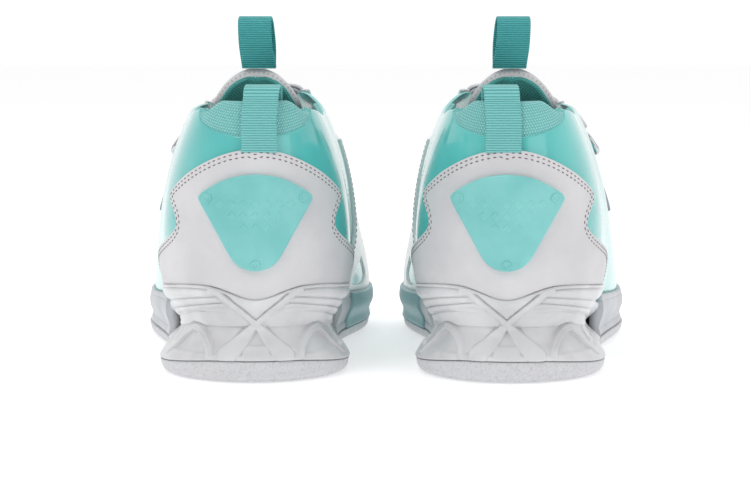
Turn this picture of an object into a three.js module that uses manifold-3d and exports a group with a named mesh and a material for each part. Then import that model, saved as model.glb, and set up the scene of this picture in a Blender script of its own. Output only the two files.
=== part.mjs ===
// A pair of cheer shoes with a raised, sculpted heel: rubber outsole, waisted heel block, cup midsole, glossy
// quarters, leather overlays, padded collar and tongue, an instep strap with its ring, and webbing pull loops.
// Millimetres, +Z up. Toes point along +Y, and the pair mirrors about X = 0. One shoe is modelled in its own
// frame, heel at Y = 0 and inner side towards +X, then placed as the left shoe and mirrored as the right.
import * as THREE from "three";
import { mergeVertices } from "three/addons/utils/BufferGeometryUtils.js";
import Module from "manifold-3d";

const wasm = await Module();
wasm.setup();

// ---- driving dimensions ----
const shoeLength = 284; // heel bulge to toe tip
const stance = 105; // between the two heel centres
const toeOut = 3; // degrees each shoe turns outward
const heelRimHeight = 41; // top edge of the heel block beside its dip
const rimSlope = 0.1; // how fast that edge falls towards the arch
const rimFallFrom = 12; // distance from the heel where it starts to fall
const rimDip = 6; // how far that edge dips behind the heel
const rimDipWidth = 12;
const heelRubber = 8.8; // outsole thickness under the heel
const foreRubber = 5; // and under the ball
const toeSpring = 7; // lift of the sole at the toe tip
const blockEnd = 118; // where the heel block stops, from the heel
const blockWaist = 8.7; // how far the block pulls in half way up
const rimThickness = 1.7; // edge of the cup
const wallHeight = 21.5; // midsole wall beside the ball
const rimStep = heelRimHeight - wallHeight - rimSlope * (blockEnd - rimFallFrom); // last drop of the block's edge
const skinThickness = 1.6; // quarters and vamp
const overlayThickness = 1.2; // leather overlays
const layerGap = 0.7; // clearance between two layers
const seamGap = 1.5; // clearance between two panels edge to edge
const stiffenerThickness = 1;
const liningThickness = 1.4;
const collarThickness = 9; // padded collar, at the back
const boardThickness = 2;
const footbedThickness = 4.5;
const shankLength = 92;
const shankWidth = 15;
const shankThickness = 1.4;
const wrapThickness = 1.8; // coloured wrap beside the ball
const wrapGap = 0.4;
const badgeThickness = 2;
const badgeHalfWidth = 25.3;
const webbingWidth = 15.5; // pull loops
const webbingThickness = 1.3;
const heelLoopRise = 9; // above the collar
const tongueLoopRise = 25; // above the tongue
const tongueThickness = 6;
const tongueHalfWidth = 19.5;
const facingThickness = 1.2; // leather edge round the tongue
const strapWidth = 28;
const strapThickness = 1.7;
const ringWire = 1.5; // radius of the strap ring's wire
const ringOpening = 7; // between its two long bars

// ---- the surface of the upper ----

// A smooth even law through evenly spaced values, flat at both ends: a uniform cubic B-spline of filtered values.
function law(values) {
  const at = (i) => values[i < 0 ? -i : i >= values.length ? 2 * values.length - 2 - i : i];
  const control = (i) => (8 * at(i) - at(i - 1) - at(i + 1)) / 6;
  return (share) => {
    const place = THREE.MathUtils.clamp(share, 0, 1) * (values.length - 1);
    const i = Math.min(Math.floor(place), values.length - 2);
    const t = place - i;
    const weights = [(1 - t) ** 3, 3 * t ** 3 - 6 * t * t + 4, -3 * t ** 3 + 3 * t * t + 3 * t + 1, t ** 3];
    const mirrored = (k) => (k < 0 ? control(-k) : k >= values.length ? control(2 * values.length - 2 - k) : control(k));
    return weights.reduce((sum, w, j) => sum + (w / 6) * mirrored(i - 1 + j), 0);
  };
}

// Each ring runs round the shoe from the heel (0) past the outer side to the toe (8) and back by the inner side.
// Its half width is the law's value times the sine of the angle, so both ends close round.
// The outer side of the ankle opening dips below the inner side by its drop.
const stretch = shoeLength / 284;
const ringOf = (start, end, outer, inner, height, shift, outerDrop = [0, 0, 0, 0, 0]) => ({
  start: start * stretch,
  end: end * stretch,
  outer: law(outer),
  inner: law(inner),
  height: law(height),
  shift: law(shift),
  outerDrop: law(outerDrop),
});
const feather = ringOf(6, 280,
  [60, 59, 51.5, 38.5, 43, 56, 61, 68, 72], [60, 59, 51.5, 37.5, 38.5, 56, 61.5, 66, 72],
  [30, 30, 30, 27, 19, 15, 15, 18, 20], [0, 0, 0, 0, 0, 1, 3, 5, 6]);
const lowBulge = ringOf(-4, 287,
  [66, 66, 63, 49.5, 53.5, 58, 66, 74, 78], [66, 66, 63, 49.5, 51, 62, 70, 73, 78],
  [58, 58, 57, 52, 46, 40, 40, 46, 49], [0, 0, 0, 0, 0, 1, 3, 5, 6]);
const highBulge = ringOf(3, 226,
  [50, 50, 50, 43, 41.5, 28, 34, 38, 40], [50, 50, 50, 43.5, 43.5, 31, 36, 38, 40],
  [92, 92, 91, 88, 90, 93, 77, 69, 66], [0, 0, 0, 0, 0, 0, 1, 2, 3]);
const opening = ringOf(10, 184,
  [45.7, 43, 35.4, 30, 28.5, 21.6, 20.5, 23.5, 28], [45.7, 43, 35.4, 31, 30, 21.6, 20.5, 23.5, 28],
  [117, 117, 116, 111.5, 113, 121, 104, 91.5, 88], [0, 0, 0, 0, 0, 0, 0, 0, 0],
  [0, 0, 0, 0, 0, 7, 3, 0, 0]);

// u runs once round from the heel (0), outer side first (to 0.5 at the toe); negative u is the inner side.
function ringPoint(ring, u) {
  const turn = ((u % 1) + 1) % 1;
  const share = turn <= 0.5 ? 2 * turn : 2 * (1 - turn);
  const width = (turn <= 0.5 ? ring.outer : ring.inner)(share);
  const drop = turn <= 0.5 ? ring.outerDrop(share) : 0;
  return new THREE.Vector3(
    -Math.sin(2 * Math.PI * turn) * width + ring.shift(share),
    (ring.start + ring.end) / 2 - ((ring.end - ring.start) / 2) * Math.cos(Math.PI * share),
    ring.height(share) - drop,
  );
}

// v climbs from the feather line (0) to the opening (1) along a cubic Bezier through the four rings.
function upperPoint(u, v) {
  const weights = [(1 - v) ** 3, 3 * v * (1 - v) ** 2, 3 * v * v * (1 - v), v ** 3];
  const point = new THREE.Vector3();
  [feather, lowBulge, highBulge, opening].forEach((ring, i) => point.addScaledVector(ringPoint(ring, u), weights[i]));
  return point;
}

function upperNormal(u, v) {
  const step = 1e-4;
  const along = upperPoint(u + step, v).sub(upperPoint(u - step, v));
  const up = upperPoint(u, v + step).sub(upperPoint(u, v - step));
  return up.cross(along).normalize();
}

const skin = (u, v, out) => upperPoint(u, v).addScaledVector(upperNormal(u, v), out);

// The v at which the surface at u reaches a height.
function climbTo(u, height) {
  let low = -0.1;
  let high = 1.05;
  for (let i = 0; i < 30; i++) {
    const middle = (low + high) / 2;
    if (upperPoint(u, middle).z < height) low = middle;
    else high = middle;
  }
  return (low + high) / 2;
}

const mix = THREE.MathUtils.lerp;
const ease = (x, from, to) => THREE.MathUtils.smoothstep(x, from, to);
const steps = (count, from = 0, to = 1) => Array.from({ length: count + 1 }, (_, i) => mix(from, to, i / count));

// ---- closed solids from points ----

// A closed geometry from points and triangles, turned to face outward.
function solid(points, triangles) {
  const flat = points.flatMap((p) => [p.x, p.y, p.z]);
  let volume = 0;
  for (const [a, b, c] of triangles) volume += points[a].dot(points[b].clone().cross(points[c]));
  const index = triangles.flatMap(([a, b, c]) => (volume < 0 ? [a, c, b] : [a, b, c]));
  const geometry = new THREE.BufferGeometry();
  geometry.setAttribute("position", new THREE.Float32BufferAttribute(flat, 3));
  geometry.setIndex(index);
  return geometry;
}

// A slab between two sheets of points, both given as rows of equal length.
function slab(inner, outer) {
  const rows = inner.length;
  const columns = inner[0].length;
  const points = [...inner.flat(), ...outer.flat()];
  const at = (side, r, c) => side * rows * columns + r * columns + c;
  const triangles = [];
  const quad = (a, b, c, d) => triangles.push([a, b, c], [a, c, d]);
  for (let r = 0; r < rows - 1; r++) {
    for (let c = 0; c < columns - 1; c++) {
      quad(at(0, r, c), at(0, r, c + 1), at(0, r + 1, c + 1), at(0, r + 1, c));
      triangles.push([at(1, r, c), at(1, r + 1, c + 1), at(1, r, c + 1)], [at(1, r, c), at(1, r + 1, c), at(1, r + 1, c + 1)]);
    }
    quad(at(0, r, 0), at(0, r + 1, 0), at(1, r + 1, 0), at(1, r, 0));
    quad(at(0, r + 1, columns - 1), at(0, r, columns - 1), at(1, r, columns - 1), at(1, r + 1, columns - 1));
  }
  for (let c = 0; c < columns - 1; c++) {
    quad(at(0, 0, c + 1), at(0, 0, c), at(1, 0, c), at(1, 0, c + 1));
    quad(at(0, rows - 1, c), at(0, rows - 1, c + 1), at(1, rows - 1, c + 1), at(1, rows - 1, c));
  }
  return solid(points, triangles);
}

// A panel of the upper. place(s, t) gives its [u, v]; it lies between two offsets from the surface.
function panel(place, columns, rows, from, to) {
  const sheet = (out) => steps(rows).map((t) => steps(columns).map((s) => skin(...place(s, t), out)));
  return slab(sheet(from), sheet(to));
}

// A closed skin through rings of equal length. The first and last rings are capped by strips across their loops.
function loft(rings) {
  const count = rings[0].length;
  const points = rings.flat();
  const triangles = [];
  for (let r = 0; r < rings.length - 1; r++) {
    for (let i = 0; i < count; i++) {
      const [a, b] = [r * count + i, r * count + ((i + 1) % count)];
      triangles.push([a, b, b + count], [a, b + count, a + count]);
    }
  }
  const cap = (base, turned) => {
    for (let i = 0, j = count - 1; i + 1 < j; i++, j--) {
      const add = (a, b, c) => triangles.push(turned ? [base + a, base + b, base + c] : [base + a, base + c, base + b]);
      add(i, i + 1, j);
      if (i + 1 < j - 1) add(i + 1, j - 1, j);
    }
  };
  cap(0, false);
  cap((rings.length - 1) * count, true);
  return solid(points, triangles);
}

function toManifold(geometry) {
  const bare = geometry.clone();
  bare.deleteAttribute("normal");
  bare.deleteAttribute("uv");
  const merged = mergeVertices(bare, 1e-4);
  const vertProperties = new Float32Array(merged.attributes.position.array);
  return new wasm.Manifold(new wasm.Mesh({ numProp: 3, vertProperties, triVerts: new Uint32Array(merged.index.array) }));
}

function toGeometry(manifold) {
  const mesh = manifold.getMesh();
  const geometry = new THREE.BufferGeometry();
  geometry.setAttribute("position", new THREE.BufferAttribute(new Float32Array(mesh.vertProperties), 3));
  geometry.setIndex(new THREE.BufferAttribute(new Uint32Array(mesh.triVerts), 1));
  return geometry;
}

const cut = (body, ...tools) =>
  toGeometry(tools.reduce((left, tool) => left.subtract(toManifold(tool)), toManifold(body)));

// ---- the sole ----

const flare = { outer: law([4, 5, 5.5, 3.5, 2, 3, 3.5, 4, 4]), inner: law([4, 4, 4, 2, 1.5, 2, 2.5, 4, 4]) };
const shareOf = (u) => 1 - Math.abs(1 - 2 * (((u % 1) + 1) % 1));
const isOuter = (u) => ((u % 1) + 1) % 1 <= 0.5;
const soleLift = (u) => toeSpring * ease(shareOf(u), 0.72, 1);
const rubber = (u) => mix(heelRubber, foreRubber, ease(shareOf(u), 0.05, 0.27));
const arcFromHeel = (u) => Math.abs(ringPoint(feather, u).x);
const rimHeight = (u) =>
  heelRimHeight - rimDip * Math.exp(-((arcFromHeel(u) / rimDipWidth) ** 2)) * (shareOf(u) < 0.3 ? 1 : 0) -
  rimSlope * Math.max(0, ringPoint(feather, u).y - rimFallFrom) -
  rimStep * ease(ringPoint(feather, u).y, 62, blockEnd);
const solePlay = 0.3; // between the outsole and what stands on it
const soleBase = (u) => soleLift(u) + rubber(u) + solePlay;
const wallTop = (u) => wallHeight + 4 * ease(shareOf(u), 0.75, 1) + 4.5 * (1 - ease(shareOf(u), 0.42, 0.6));

// A point beside the feather line, moved outward in plan.
function besideFeather(u, out, height) {
  const step = 1e-4;
  const here = ringPoint(feather, u);
  const along = ringPoint(feather, u + step).sub(ringPoint(feather, u - step)).normalize();
  return new THREE.Vector3(here.x - along.y * out, here.y + along.x * out, height);
}

const soleOut = (u) => (isOuter(u) ? flare.outer : flare.inner)(shareOf(u));
const soleRing = (list, out, height) => list.map((u) => besideFeather(u, soleOut(u) + out, height(u)));
const roundSole = steps(36).slice(0, -1);
const heelEnd = Math.acos((143 - blockEnd / stretch) / 137) / (2 * Math.PI);
const foreStart = Math.acos((143 - (blockEnd + seamGap) / stretch) / 137) / (2 * Math.PI);

// The body that the upper fills inside the cup of the sole, a clearance larger than the upper itself.
function lastBody() {
  const heights = [0, 0.07, 0.15, 0.26, 0.42];
  const list = steps(44).slice(0, -1);
  const low = list.map((u) => skin(u, 0, layerGap).setZ(ringPoint(feather, u).z - 0.8));
  return loft([low, ...heights.map((v) => list.map((u) => skin(u, v, layerGap)))]);
}

function outsole() {
  return loft([
    soleRing(roundSole, -2.5, soleLift),
    soleRing(roundSole, 0, (u) => soleLift(u) + 2.4),
    soleRing(roundSole, 0.3, (u) => soleLift(u) + rubber(u)),
  ]);
}

function heelBlock() {
  const list = steps(28, -heelEnd, heelEnd);
  const level = (share) => (u) => mix(soleBase(u), rimHeight(u), share);
  const wall = (v) => list.map((u) => skin(u, v(u), layerGap + rimThickness));
  return cut(
    loft([
      soleRing(list, 0, soleBase),
      soleRing(list, -0.8, level(0.1)),
      soleRing(list, -blockWaist, level(0.45)),
      wall(() => 0),
      wall((u) => climbTo(u, rimHeight(u))),
    ]),
    lastBody(),
  );
}

// A point of the midsole's outer wall: it flares at the foot, pulls in above it and swells under the rim.
const wallWave = law([0, -1.2, 0.6, 0.8, 0]);
function wallPoint(u, share, out) {
  const foot = besideFeather(u, soleOut(u), soleBase(u));
  const rim = skin(u, climbTo(u, wallTop(u)), layerGap + rimThickness + 0.5);
  const outward = besideFeather(u, 1, 0).sub(besideFeather(u, 0, 0));
  return foot.lerp(rim, share).addScaledVector(outward, wallWave(share) + out);
}

function midsole() {
  const list = steps(30, foreStart, 1 - foreStart);
  return cut(loft([0, 0.3, 0.65, 1].map((share) => list.map((u) => wallPoint(u, share, 0)))), lastBody());
}

// The coloured wrap on the inner side of the ball, over the midsole's wall.
function innerWrap() {
  const list = steps(12, 0.74, 0.6);
  const sheet = (out) => [0, 0.3, 0.65, 0.95].map((share) => list.map((u) => wallPoint(u, share, out)));
  return slab(sheet(wrapGap), sheet(wrapGap + wrapThickness));
}

// A flat layer that fills the shoe's floor, inset from the feather line.
function floorLayer(inset, from, to) {
  const floorRing = (rise) => roundSole.map((u) => besideFeather(u, -inset, ringPoint(feather, u).z + rise));
  return loft([floorRing(from), floorRing(to)]);
}

function shank() {
  const along = steps(6, 58, 58 + shankLength);
  const floorAt = (y) => ringPoint(feather, Math.acos(THREE.MathUtils.clamp((143 - y / stretch) / 137, -1, 1)) / (2 * Math.PI)).z;
  const sheet = (rise) =>
    along.map((y) => [-shankWidth / 2, shankWidth / 2].map((x) => new THREE.Vector3(x, y, floorAt(y) + rise)));
  return slab(sheet(-0.4), sheet(-0.4 + shankThickness));
}

// ---- the upper ----

const skinFrom = -skinThickness;
const overlayFrom = layerGap;
const overlayTo = layerGap + overlayThickness;
const stiffTo = skinFrom - layerGap;
const stiffFrom = stiffTo - stiffenerThickness;
const liningTo = stiffFrom - layerGap;
const liningFrom = liningTo - liningThickness;
const vampSeam = 0.36; // u of the seam between quarter and vamp
const seamInU = 0.002;

// Top edge of the glossy quarter: low behind the heel, a peak at each side, then just under the opening.
const quarterTop = (u) => {
  const far = Math.abs(u);
  return mix(0.832, 0.976, ease(far, 0.004, 0.125)) + 0.015 * ease(far, 0.15, 0.3);
};

function quarter(side) {
  const place = (s, t) => {
    const u = mix(seamInU, vampSeam - seamInU, s ** 1.35);
    return [side * u, t ** 1.15 * quarterTop(u)];
  };
  return panel(place, 16, 8, skinFrom, 0);
}

const vamp = () =>
  panel((s, t) => [mix(vampSeam + seamInU, 1 - vampSeam - seamInU, s), t ** 1.25], 16, 8, skinFrom, 0);

function toeCap() {
  const top = (s) => mix(0.1, 0.44, Math.sin(Math.PI * s) ** 0.8);
  const place = (s, t) => [mix(0.415, 0.585, s), mix(climbTo(mix(0.415, 0.585, s), wallTop(0.45) + 4), top(s), t)];
  return panel(place, 10, 3, overlayFrom, overlayTo);
}

// Half width in u of the white heel cover at each height share: flared foot, waist, shoulder and arched top.
const coverEdge = law([0.175, 0.172, 0.142, 0.117, 0.118, 0.131, 0.13, 0.1, 0.02]);
const coverTop = 0.79;
const coverFrom = overlayFrom + 0.6; // it lies on a thin foam
const coverTo = coverFrom + overlayThickness;

function counterCover() {
  const place = (s, t) => {
    const u = mix(-1, 1, s) * coverEdge(t);
    return [u, mix(climbTo(u, rimHeight(u) + 2), coverTop, t)];
  };
  return panel(place, 18, 11, coverFrom, coverTo);
}

// The badge is a rounded triangle, point down, laid on the heel cover.
const badgeEdge = law([0.15, 0.42, 0.63, 0.8, 0.93, 0.98, 0.55]);
const badgeFrom = coverTo + layerGap;
const badgeLow = 0.2;
const badgeHigh = 0.655;

function heelBadge() {
  const place = (s, t) => [mix(-1, 1, s) * badgeEdge(t) * 0.0775 * (badgeHalfWidth / 25.3), mix(badgeLow, badgeHigh, t)];
  return panel(place, 8, 8, badgeFrom, badgeFrom + badgeThickness);
}

const heelStiffener = () =>
  panel((s, t) => [mix(-0.16, 0.16, s), mix(0.07, 0.62 - 0.2 * (2 * s - 1) ** 2, t)], 14, 3, stiffFrom, stiffTo);

const toePuff = () =>
  panel((s, t) => [mix(0.43, 0.57, s), mix(0.07, 0.34 - 0.1 * (2 * s - 1) ** 2, t)], 10, 4, stiffFrom, stiffTo);

// The lining starts above the floor layers. It rises into the collar, and stays low beside the throat.
const liningLow = 0.1;
const throatLining = 0.78;
const liningTop = (u) => mix(quarterTop(u) - 0.02, throatLining, ease(Math.abs(u), 0.25, 0.29));

function quarterLining() {
  const place = (s, t) => {
    const u = Math.sign(s - 0.5) * 0.34 * Math.abs(2 * s - 1) ** 1.2;
    return [u, mix(liningLow, liningTop(u), t)];
  };
  return panel(place, 26, 5, liningFrom, liningTo);
}

const vampLining = () =>
  panel((s, t) => [mix(0.345, 0.655, s), mix(liningLow, throatLining, t ** 1.2)], 14, 5, liningFrom, liningTo);

// Padded collar: fills the notch above the quarter, wraps over its top edge and runs down inside.
const collarEnd = 0.262;
const collarPadding = (u) => mix(collarThickness, 5, ease(Math.abs(u), 0.1, 0.25));

function collarPad() {
  const inner = liningFrom - layerGap;
  const section = (u) => {
    const depth = -collarPadding(u);
    const ledge = quarterTop(u) + 0.02;
    const top = Math.max(1, ledge + 0.03);
    const outline = [
      [inner, 0.66], [inner, ledge], [0, ledge], [-0.3, top],
      [-2.8, top + 0.01], [depth + 2, top + 0.01], [depth - 0.8, top - 0.06], [depth - 1, 0.72],
    ];
    return outline.map(([out, v]) => skin(u, v, out));
  };
  return loft(steps(28, -collarEnd, collarEnd).map(section));
}

const eyestayStart = 0.296;
const eyestayEnd = 0.478;
const eyestayDepth = 0.16; // in v
function eyestay(side) {
  const place = (s, t) => {
    const u = mix(eyestayStart, eyestayEnd, s);
    return [side * u, mix(1 - eyestayDepth - 0.05 * ease(1 - s, 0.6, 1), 0.995, t)];
  };
  return panel(place, 11, 3, overlayFrom, overlayTo);
}

// White panel on the inner side of the midfoot, where the strap is sewn in.
function saddle() {
  const place = (s, t) => {
    const u = mix(0.265 - 0.03 * t, 0.345 - 0.015 * t, s);
    return [-u, mix(climbTo(-u, wallTop(u) + 4.5), 0.78, t)];
  };
  return panel(place, 5, 6, overlayFrom, overlayTo);
}

// ---- tongue, loops, lace and strap ----

const tongueLine = new THREE.CatmullRomCurve3(
  [[200, 74], [184, 82.5], [158, 98], [140, 107.8], [128, 115], [119, 122.5], [114, 128.6]].map(
    ([y, z]) => new THREE.Vector3(0, y * stretch, z),
  ),
);

// A point of the tongue's upper face: across from -1 to 1, along from 0 at the base to 1 at the tip.
function tonguePoint(across, along, depth) {
  const centre = tongueLine.getPointAt(along);
  const forward = tongueLine.getTangentAt(along);
  const out = new THREE.Vector3(0, forward.z, -forward.y);
  const rounding = along > 0.8 ? Math.sqrt(Math.max(0.04, 1 - ((along - 0.8) / 0.2) ** 2 * 0.96)) : 1;
  const half = tongueHalfWidth * mix(0.75, 1, ease(along, 0, 0.4)) * rounding;
  const x = across * half;
  const drop = 5.5 * (x / tongueHalfWidth) ** 2;
  return centre.clone().addScaledVector(out, -drop - depth).setX(x);
}

const tongueSheet = (columns, rows, from, to, reach, depth) =>
  steps(rows, from, to).map((along) => steps(columns, -reach, reach).map((across) => tonguePoint(across, along, depth(along))));

const tongue = () =>
  slab(
    tongueSheet(6, 12, 0, 1, 1, (along) => mix(3, tongueThickness, ease(along, 0.1, 0.5))),
    tongueSheet(6, 12, 0, 1, 1, () => 0),
  );

// The leather face on the front of the tongue's top, which shows as a stitched edge.
const tongueFacing = () =>
  slab(
    tongueSheet(6, 6, 0.62, 1, 1, () => -0.3),
    tongueSheet(6, 6, 0.62, 1, 1, () => -0.3 - facingThickness),
  );

// A flat ribbon along points, each with its own normal, as one closed solid.
function ribbon(points, normals, acrosses, width, thickness) {
  const sheet = (depth) =>
    points.map((p, i) => [-0.5, 0.5].map((side) => p.clone().addScaledVector(acrosses[i], side * width).addScaledVector(normals[i], depth)));
  return slab(sheet(0), sheet(thickness));
}

// A ribbon whose path lies in a plane of constant x.
function uprightRibbon(path, width, thickness) {
  const normals = path.map((p, i) => {
    const along = path[Math.min(i + 1, path.length - 1)].clone().sub(path[Math.max(i - 1, 0)]).normalize();
    return new THREE.Vector3(0, -along.z, along.y);
  });
  return ribbon(path, normals, path.map(() => new THREE.Vector3(1, 0, 0)), width, thickness);
}

// Webbing from the heel cover's top edge, up over the collar and down its inner side.
function heelLoop() {
  const behind = (v, out) => skin(0, v, out);
  const top = skin(0, 1, -5).z + heelLoopRise;
  const path = [behind(0.81, 1.1), behind(0.87, 1.3), behind(0.94, 1.4), behind(1, 1.2)];
  const rise = [[0.3, 0.6], [2.2, 0.97], [9, 0.99], [11.3, 0.55]].map(([y, share]) =>
    new THREE.Vector3(0, path[3].y + y, mix(path[3].z, top, share)));
  const inside = [new THREE.Vector3(0, skin(0, 1, -11).y + 3.2, 112), new THREE.Vector3(0, skin(0, 1, -11).y + 4.4, 104)];
  return uprightRibbon([...path, ...rise, ...inside], webbingWidth, webbingThickness);
}

// A doubled webbing loop that stands on the tongue's top edge.
function tongueLoop() {
  const foot = tonguePoint(0, 1, tongueThickness / 2);
  const bend = [[-2.6, 1.2], [-4.2, 6], [-4.6, 14], [-3.2, 22], [0, 25], [3.2, 22], [4.6, 14], [4.2, 6], [2.6, 1.2]];
  const path = bend.map(([y, z]) => new THREE.Vector3(0, foot.y + y, foot.z + (z * tongueLoopRise) / 25 + 1.5));
  return uprightRibbon(path, webbingWidth, -webbingThickness);
}

// The strap's course: up the inner side, over the throat and down the outer side. Its middle leans back as it
// comes down. run goes from -2 (inner side, low) through -1 and 1 (edges of the throat) to 2 (outer side, low).
const strapU = (v) => 0.365 - 0.16 * (1 - v);
const strapLow = 0.6; // v at the strap's two lower ends
const strapPlay = 0.6; // between the strap's layers
const bandFrom = overlayTo + strapPlay;
const bandTo = bandFrom + strapThickness;
const tailFrom = bandTo + strapPlay;
const tailTo = tailFrom + strapThickness;

function strapEdgePoint(side, across, v, out) {
  const middle = strapU(v);
  const speed = upperPoint(middle + 1e-3, v).distanceTo(upperPoint(middle - 1e-3, v)) / 2e-3;
  return skin(side * (middle + (across * strapWidth) / 2 / speed), v, out);
}

function strapPoint(across, run, out) {
  const side = run < 0 ? -1 : 1;
  const low = Math.abs(run);
  if (low >= 1) return strapEdgePoint(side, across, mix(1, strapLow, low - 1), out);
  const foot = (which) => strapEdgePoint(which, across, 1, out);
  const reach = (which) => foot(which).multiplyScalar(2).sub(strapEdgePoint(which, across, 0.97, out)).sub(foot(which));
  const arch = (which) => foot(which).addScaledVector(reach(which).normalize(), 7);
  return new THREE.CubicBezierCurve3(foot(-1), arch(-1), arch(1), foot(1)).getPoint((run + 1) / 2);
}

// Both layers of the strap bend at the same stations, so they stay apart.
const stations = steps(20, -2, 2);

function strapPiece(from, to, low, high) {
  const runs = [from, ...stations.filter((run) => run > from + 0.05 && run < to - 0.05), to];
  const sheet = (out) => runs.map((run) => steps(3, -1, 1).map((across) => strapPoint(across, run, out(run))));
  return slab(sheet(low), sheet(high));
}

const ringRun = 1.6; // where the ring's upper bar lies along the strap
const ringOut = bandTo + 0.3 + ringWire;
const tailRise = (run) => (ringOut + ringWire + 0.9 - tailFrom) * ease(run, ringRun - 0.5, ringRun - 0.2);
const strapBand = () => strapPiece(-2, ringRun - 0.12, () => bandFrom, () => bandTo);
const strapTail = () => strapPiece(-1.4, ringRun, (run) => tailFrom + tailRise(run), (run) => tailTo + tailRise(run));

// The place and axes of the ring's upper bar.
function ringFrame() {
  const centre = strapPoint(0, ringRun, ringOut);
  const along = strapPoint(1, ringRun, ringOut).sub(strapPoint(-1, ringRun, ringOut)).normalize();
  const down = strapPoint(0, ringRun + 0.2, ringOut).sub(centre);
  down.addScaledVector(along, -down.dot(along)).normalize();
  return { centre, along, down };
}

function strapRing() {
  const { centre, along, down } = ringFrame();
  const half = strapWidth / 2 + ringWire + 1.8;
  const tall = ringOpening + 2 * ringWire;
  const corner = 3;
  const path = [];
  const corners = [[half, 0, 0], [half, tall, 90], [-half, tall, 180], [-half, 0, 270]];
  for (const [x, y, start] of corners) {
    for (const turn of [-90, -45, 0]) {
      const angle = THREE.MathUtils.degToRad(start + turn);
      path.push([x - Math.sign(x) * corner + corner * Math.cos(angle), y + (y ? -corner : corner) + corner * Math.sin(angle)]);
    }
  }
  const outward = down.clone().cross(along).normalize();
  const section = steps(8).slice(0, -1).map((share) => share * 2 * Math.PI);
  const middle = [0, tall / 2];
  const rings = path.map(([x, y]) => {
    const spoke = new THREE.Vector2(x - middle[0], y - middle[1]).normalize();
    const point = centre.clone().addScaledVector(along, x).addScaledVector(down, y);
    const radial = along.clone().multiplyScalar(spoke.x).addScaledVector(down, spoke.y);
    return section.map((a) =>
      point.clone().addScaledVector(radial, ringWire * Math.cos(a)).addScaledVector(outward, ringWire * Math.sin(a)));
  });
  return closedTube(rings);
}

// A tube through rings that returns to its start.
function closedTube(rings) {
  const count = rings[0].length;
  const triangles = [];
  rings.forEach((ring, r) => {
    const next = ((r + 1) % rings.length) * count;
    for (let i = 0; i < count; i++) {
      const [a, b] = [i, (i + 1) % count];
      triangles.push([r * count + a, r * count + b, next + b], [r * count + a, next + b, next + a]);
    }
  });
  return solid(rings.flat(), triangles);
}

// The webbing that holds the ring: from its lower bar down to the sole, flat on the quarter.
function ringTab() {
  const sheet = (low, high) =>
    steps(6).map((t) => steps(2, -0.8, 0.8).map((across) => strapEdgePoint(1, across, mix(0.45, 0.71, t), mix(low, high, t))));
  return slab(sheet(overlayFrom, overlayFrom), sheet(overlayTo, ringOut - ringWire - 0.4));
}

// ---- the pair ----

const plastic = (color, roughness = 0.4) => new THREE.MeshStandardMaterial({ color, roughness, metalness: 0 });
const mint = 0x7fcbc6;
const white = 0xdcdcde;
const parts = {
  outsole: [outsole(), plastic(0xd2d2d4, 0.85)],
  heel_block: [heelBlock(), plastic(0xd6d6d8, 0.35)],
  midsole: [midsole(), plastic(0xcfd0d4, 0.6)],
  inner_wrap: [innerWrap(), plastic(0x8fb6ba, 0.6)],
  shank: [shank(), new THREE.MeshStandardMaterial({ color: 0x9a9da0, roughness: 0.35, metalness: 1 })],
  insole_board: [floorLayer(7, 1.5, 1.5 + boardThickness), plastic(0xb9a98c, 0.9)],
  footbed: [floorLayer(7.5, 1.8 + boardThickness, 1.8 + boardThickness + footbedThickness), plastic(0x62b5b0, 0.9)],
  vamp: [vamp(), plastic(mint, 0.2)],
  quarter_outer: [quarter(1), plastic(mint, 0.2)],
  quarter_inner: [quarter(-1), plastic(mint, 0.2)],
  toe_cap: [toeCap(), plastic(white, 0.6)],
  counter_cover: [counterCover(), plastic(white, 0.6)],
  heel_badge: [heelBadge(), plastic(0x82cac7, 0.35)],
  heel_stiffener: [heelStiffener(), plastic(0xe6e4de, 0.6)],
  toe_puff: [toePuff(), plastic(0xe6e4de, 0.6)],
  quarter_lining: [quarterLining(), plastic(0x55b0ab, 0.9)],
  vamp_lining: [vampLining(), plastic(0x55b0ab, 0.9)],
  collar_pad: [collarPad(), plastic(0x8fd4cf, 0.9)],
  eyestay_outer: [eyestay(1), plastic(white, 0.6)],
  eyestay_inner: [eyestay(-1), plastic(white, 0.6)],
  saddle: [saddle(), plastic(white, 0.6)],
  tongue: [tongue(), plastic(0x56b2ac, 0.9)],
  tongue_facing: [tongueFacing(), plastic(white, 0.6)],
  tongue_loop: [tongueLoop(), plastic(0x47aeb0, 0.8)],
  heel_loop: [heelLoop(), plastic(0x7ac6c6, 0.8)],
  strap_band: [strapBand(), plastic(0xb4bcc2, 0.7)],
  strap_tail: [strapTail(), plastic(white, 0.6)],
  strap_ring: [strapRing(), new THREE.MeshStandardMaterial({ color: 0xc8c8ca, roughness: 0.3, metalness: 1 })],
  ring_tab: [ringTab(), plastic(white, 0.8)],
};

function shoe(prefix) {
  const group = new THREE.Group();
  group.name = `${prefix}_shoe`;
  for (const [name, [geometry, material]] of Object.entries(parts)) {
    const mesh = new THREE.Mesh(geometry, material.clone());
    mesh.name = `${prefix}_${name}`;
    group.add(mesh);
  }
  group.position.set(-stance / 2, 0, 0);
  group.rotation.z = THREE.MathUtils.degToRad(toeOut);
  return group;
}

const pair = new THREE.Group();
pair.name = "cheer_shoes";
const rightHalf = new THREE.Group();
rightHalf.scale.x = -1;
rightHalf.add(shoe("right"));
pair.add(shoe("left"), rightHalf);

// The origin is on the floor, in the middle of the pair's box.
pair.updateMatrixWorld(true);
const box = new THREE.Box3().setFromObject(pair, true);
pair.position.set(-(box.min.x + box.max.x) / 2, -(box.min.y + box.max.y) / 2, -box.min.z);
pair.updateMatrixWorld(true);

export default pair;
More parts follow.
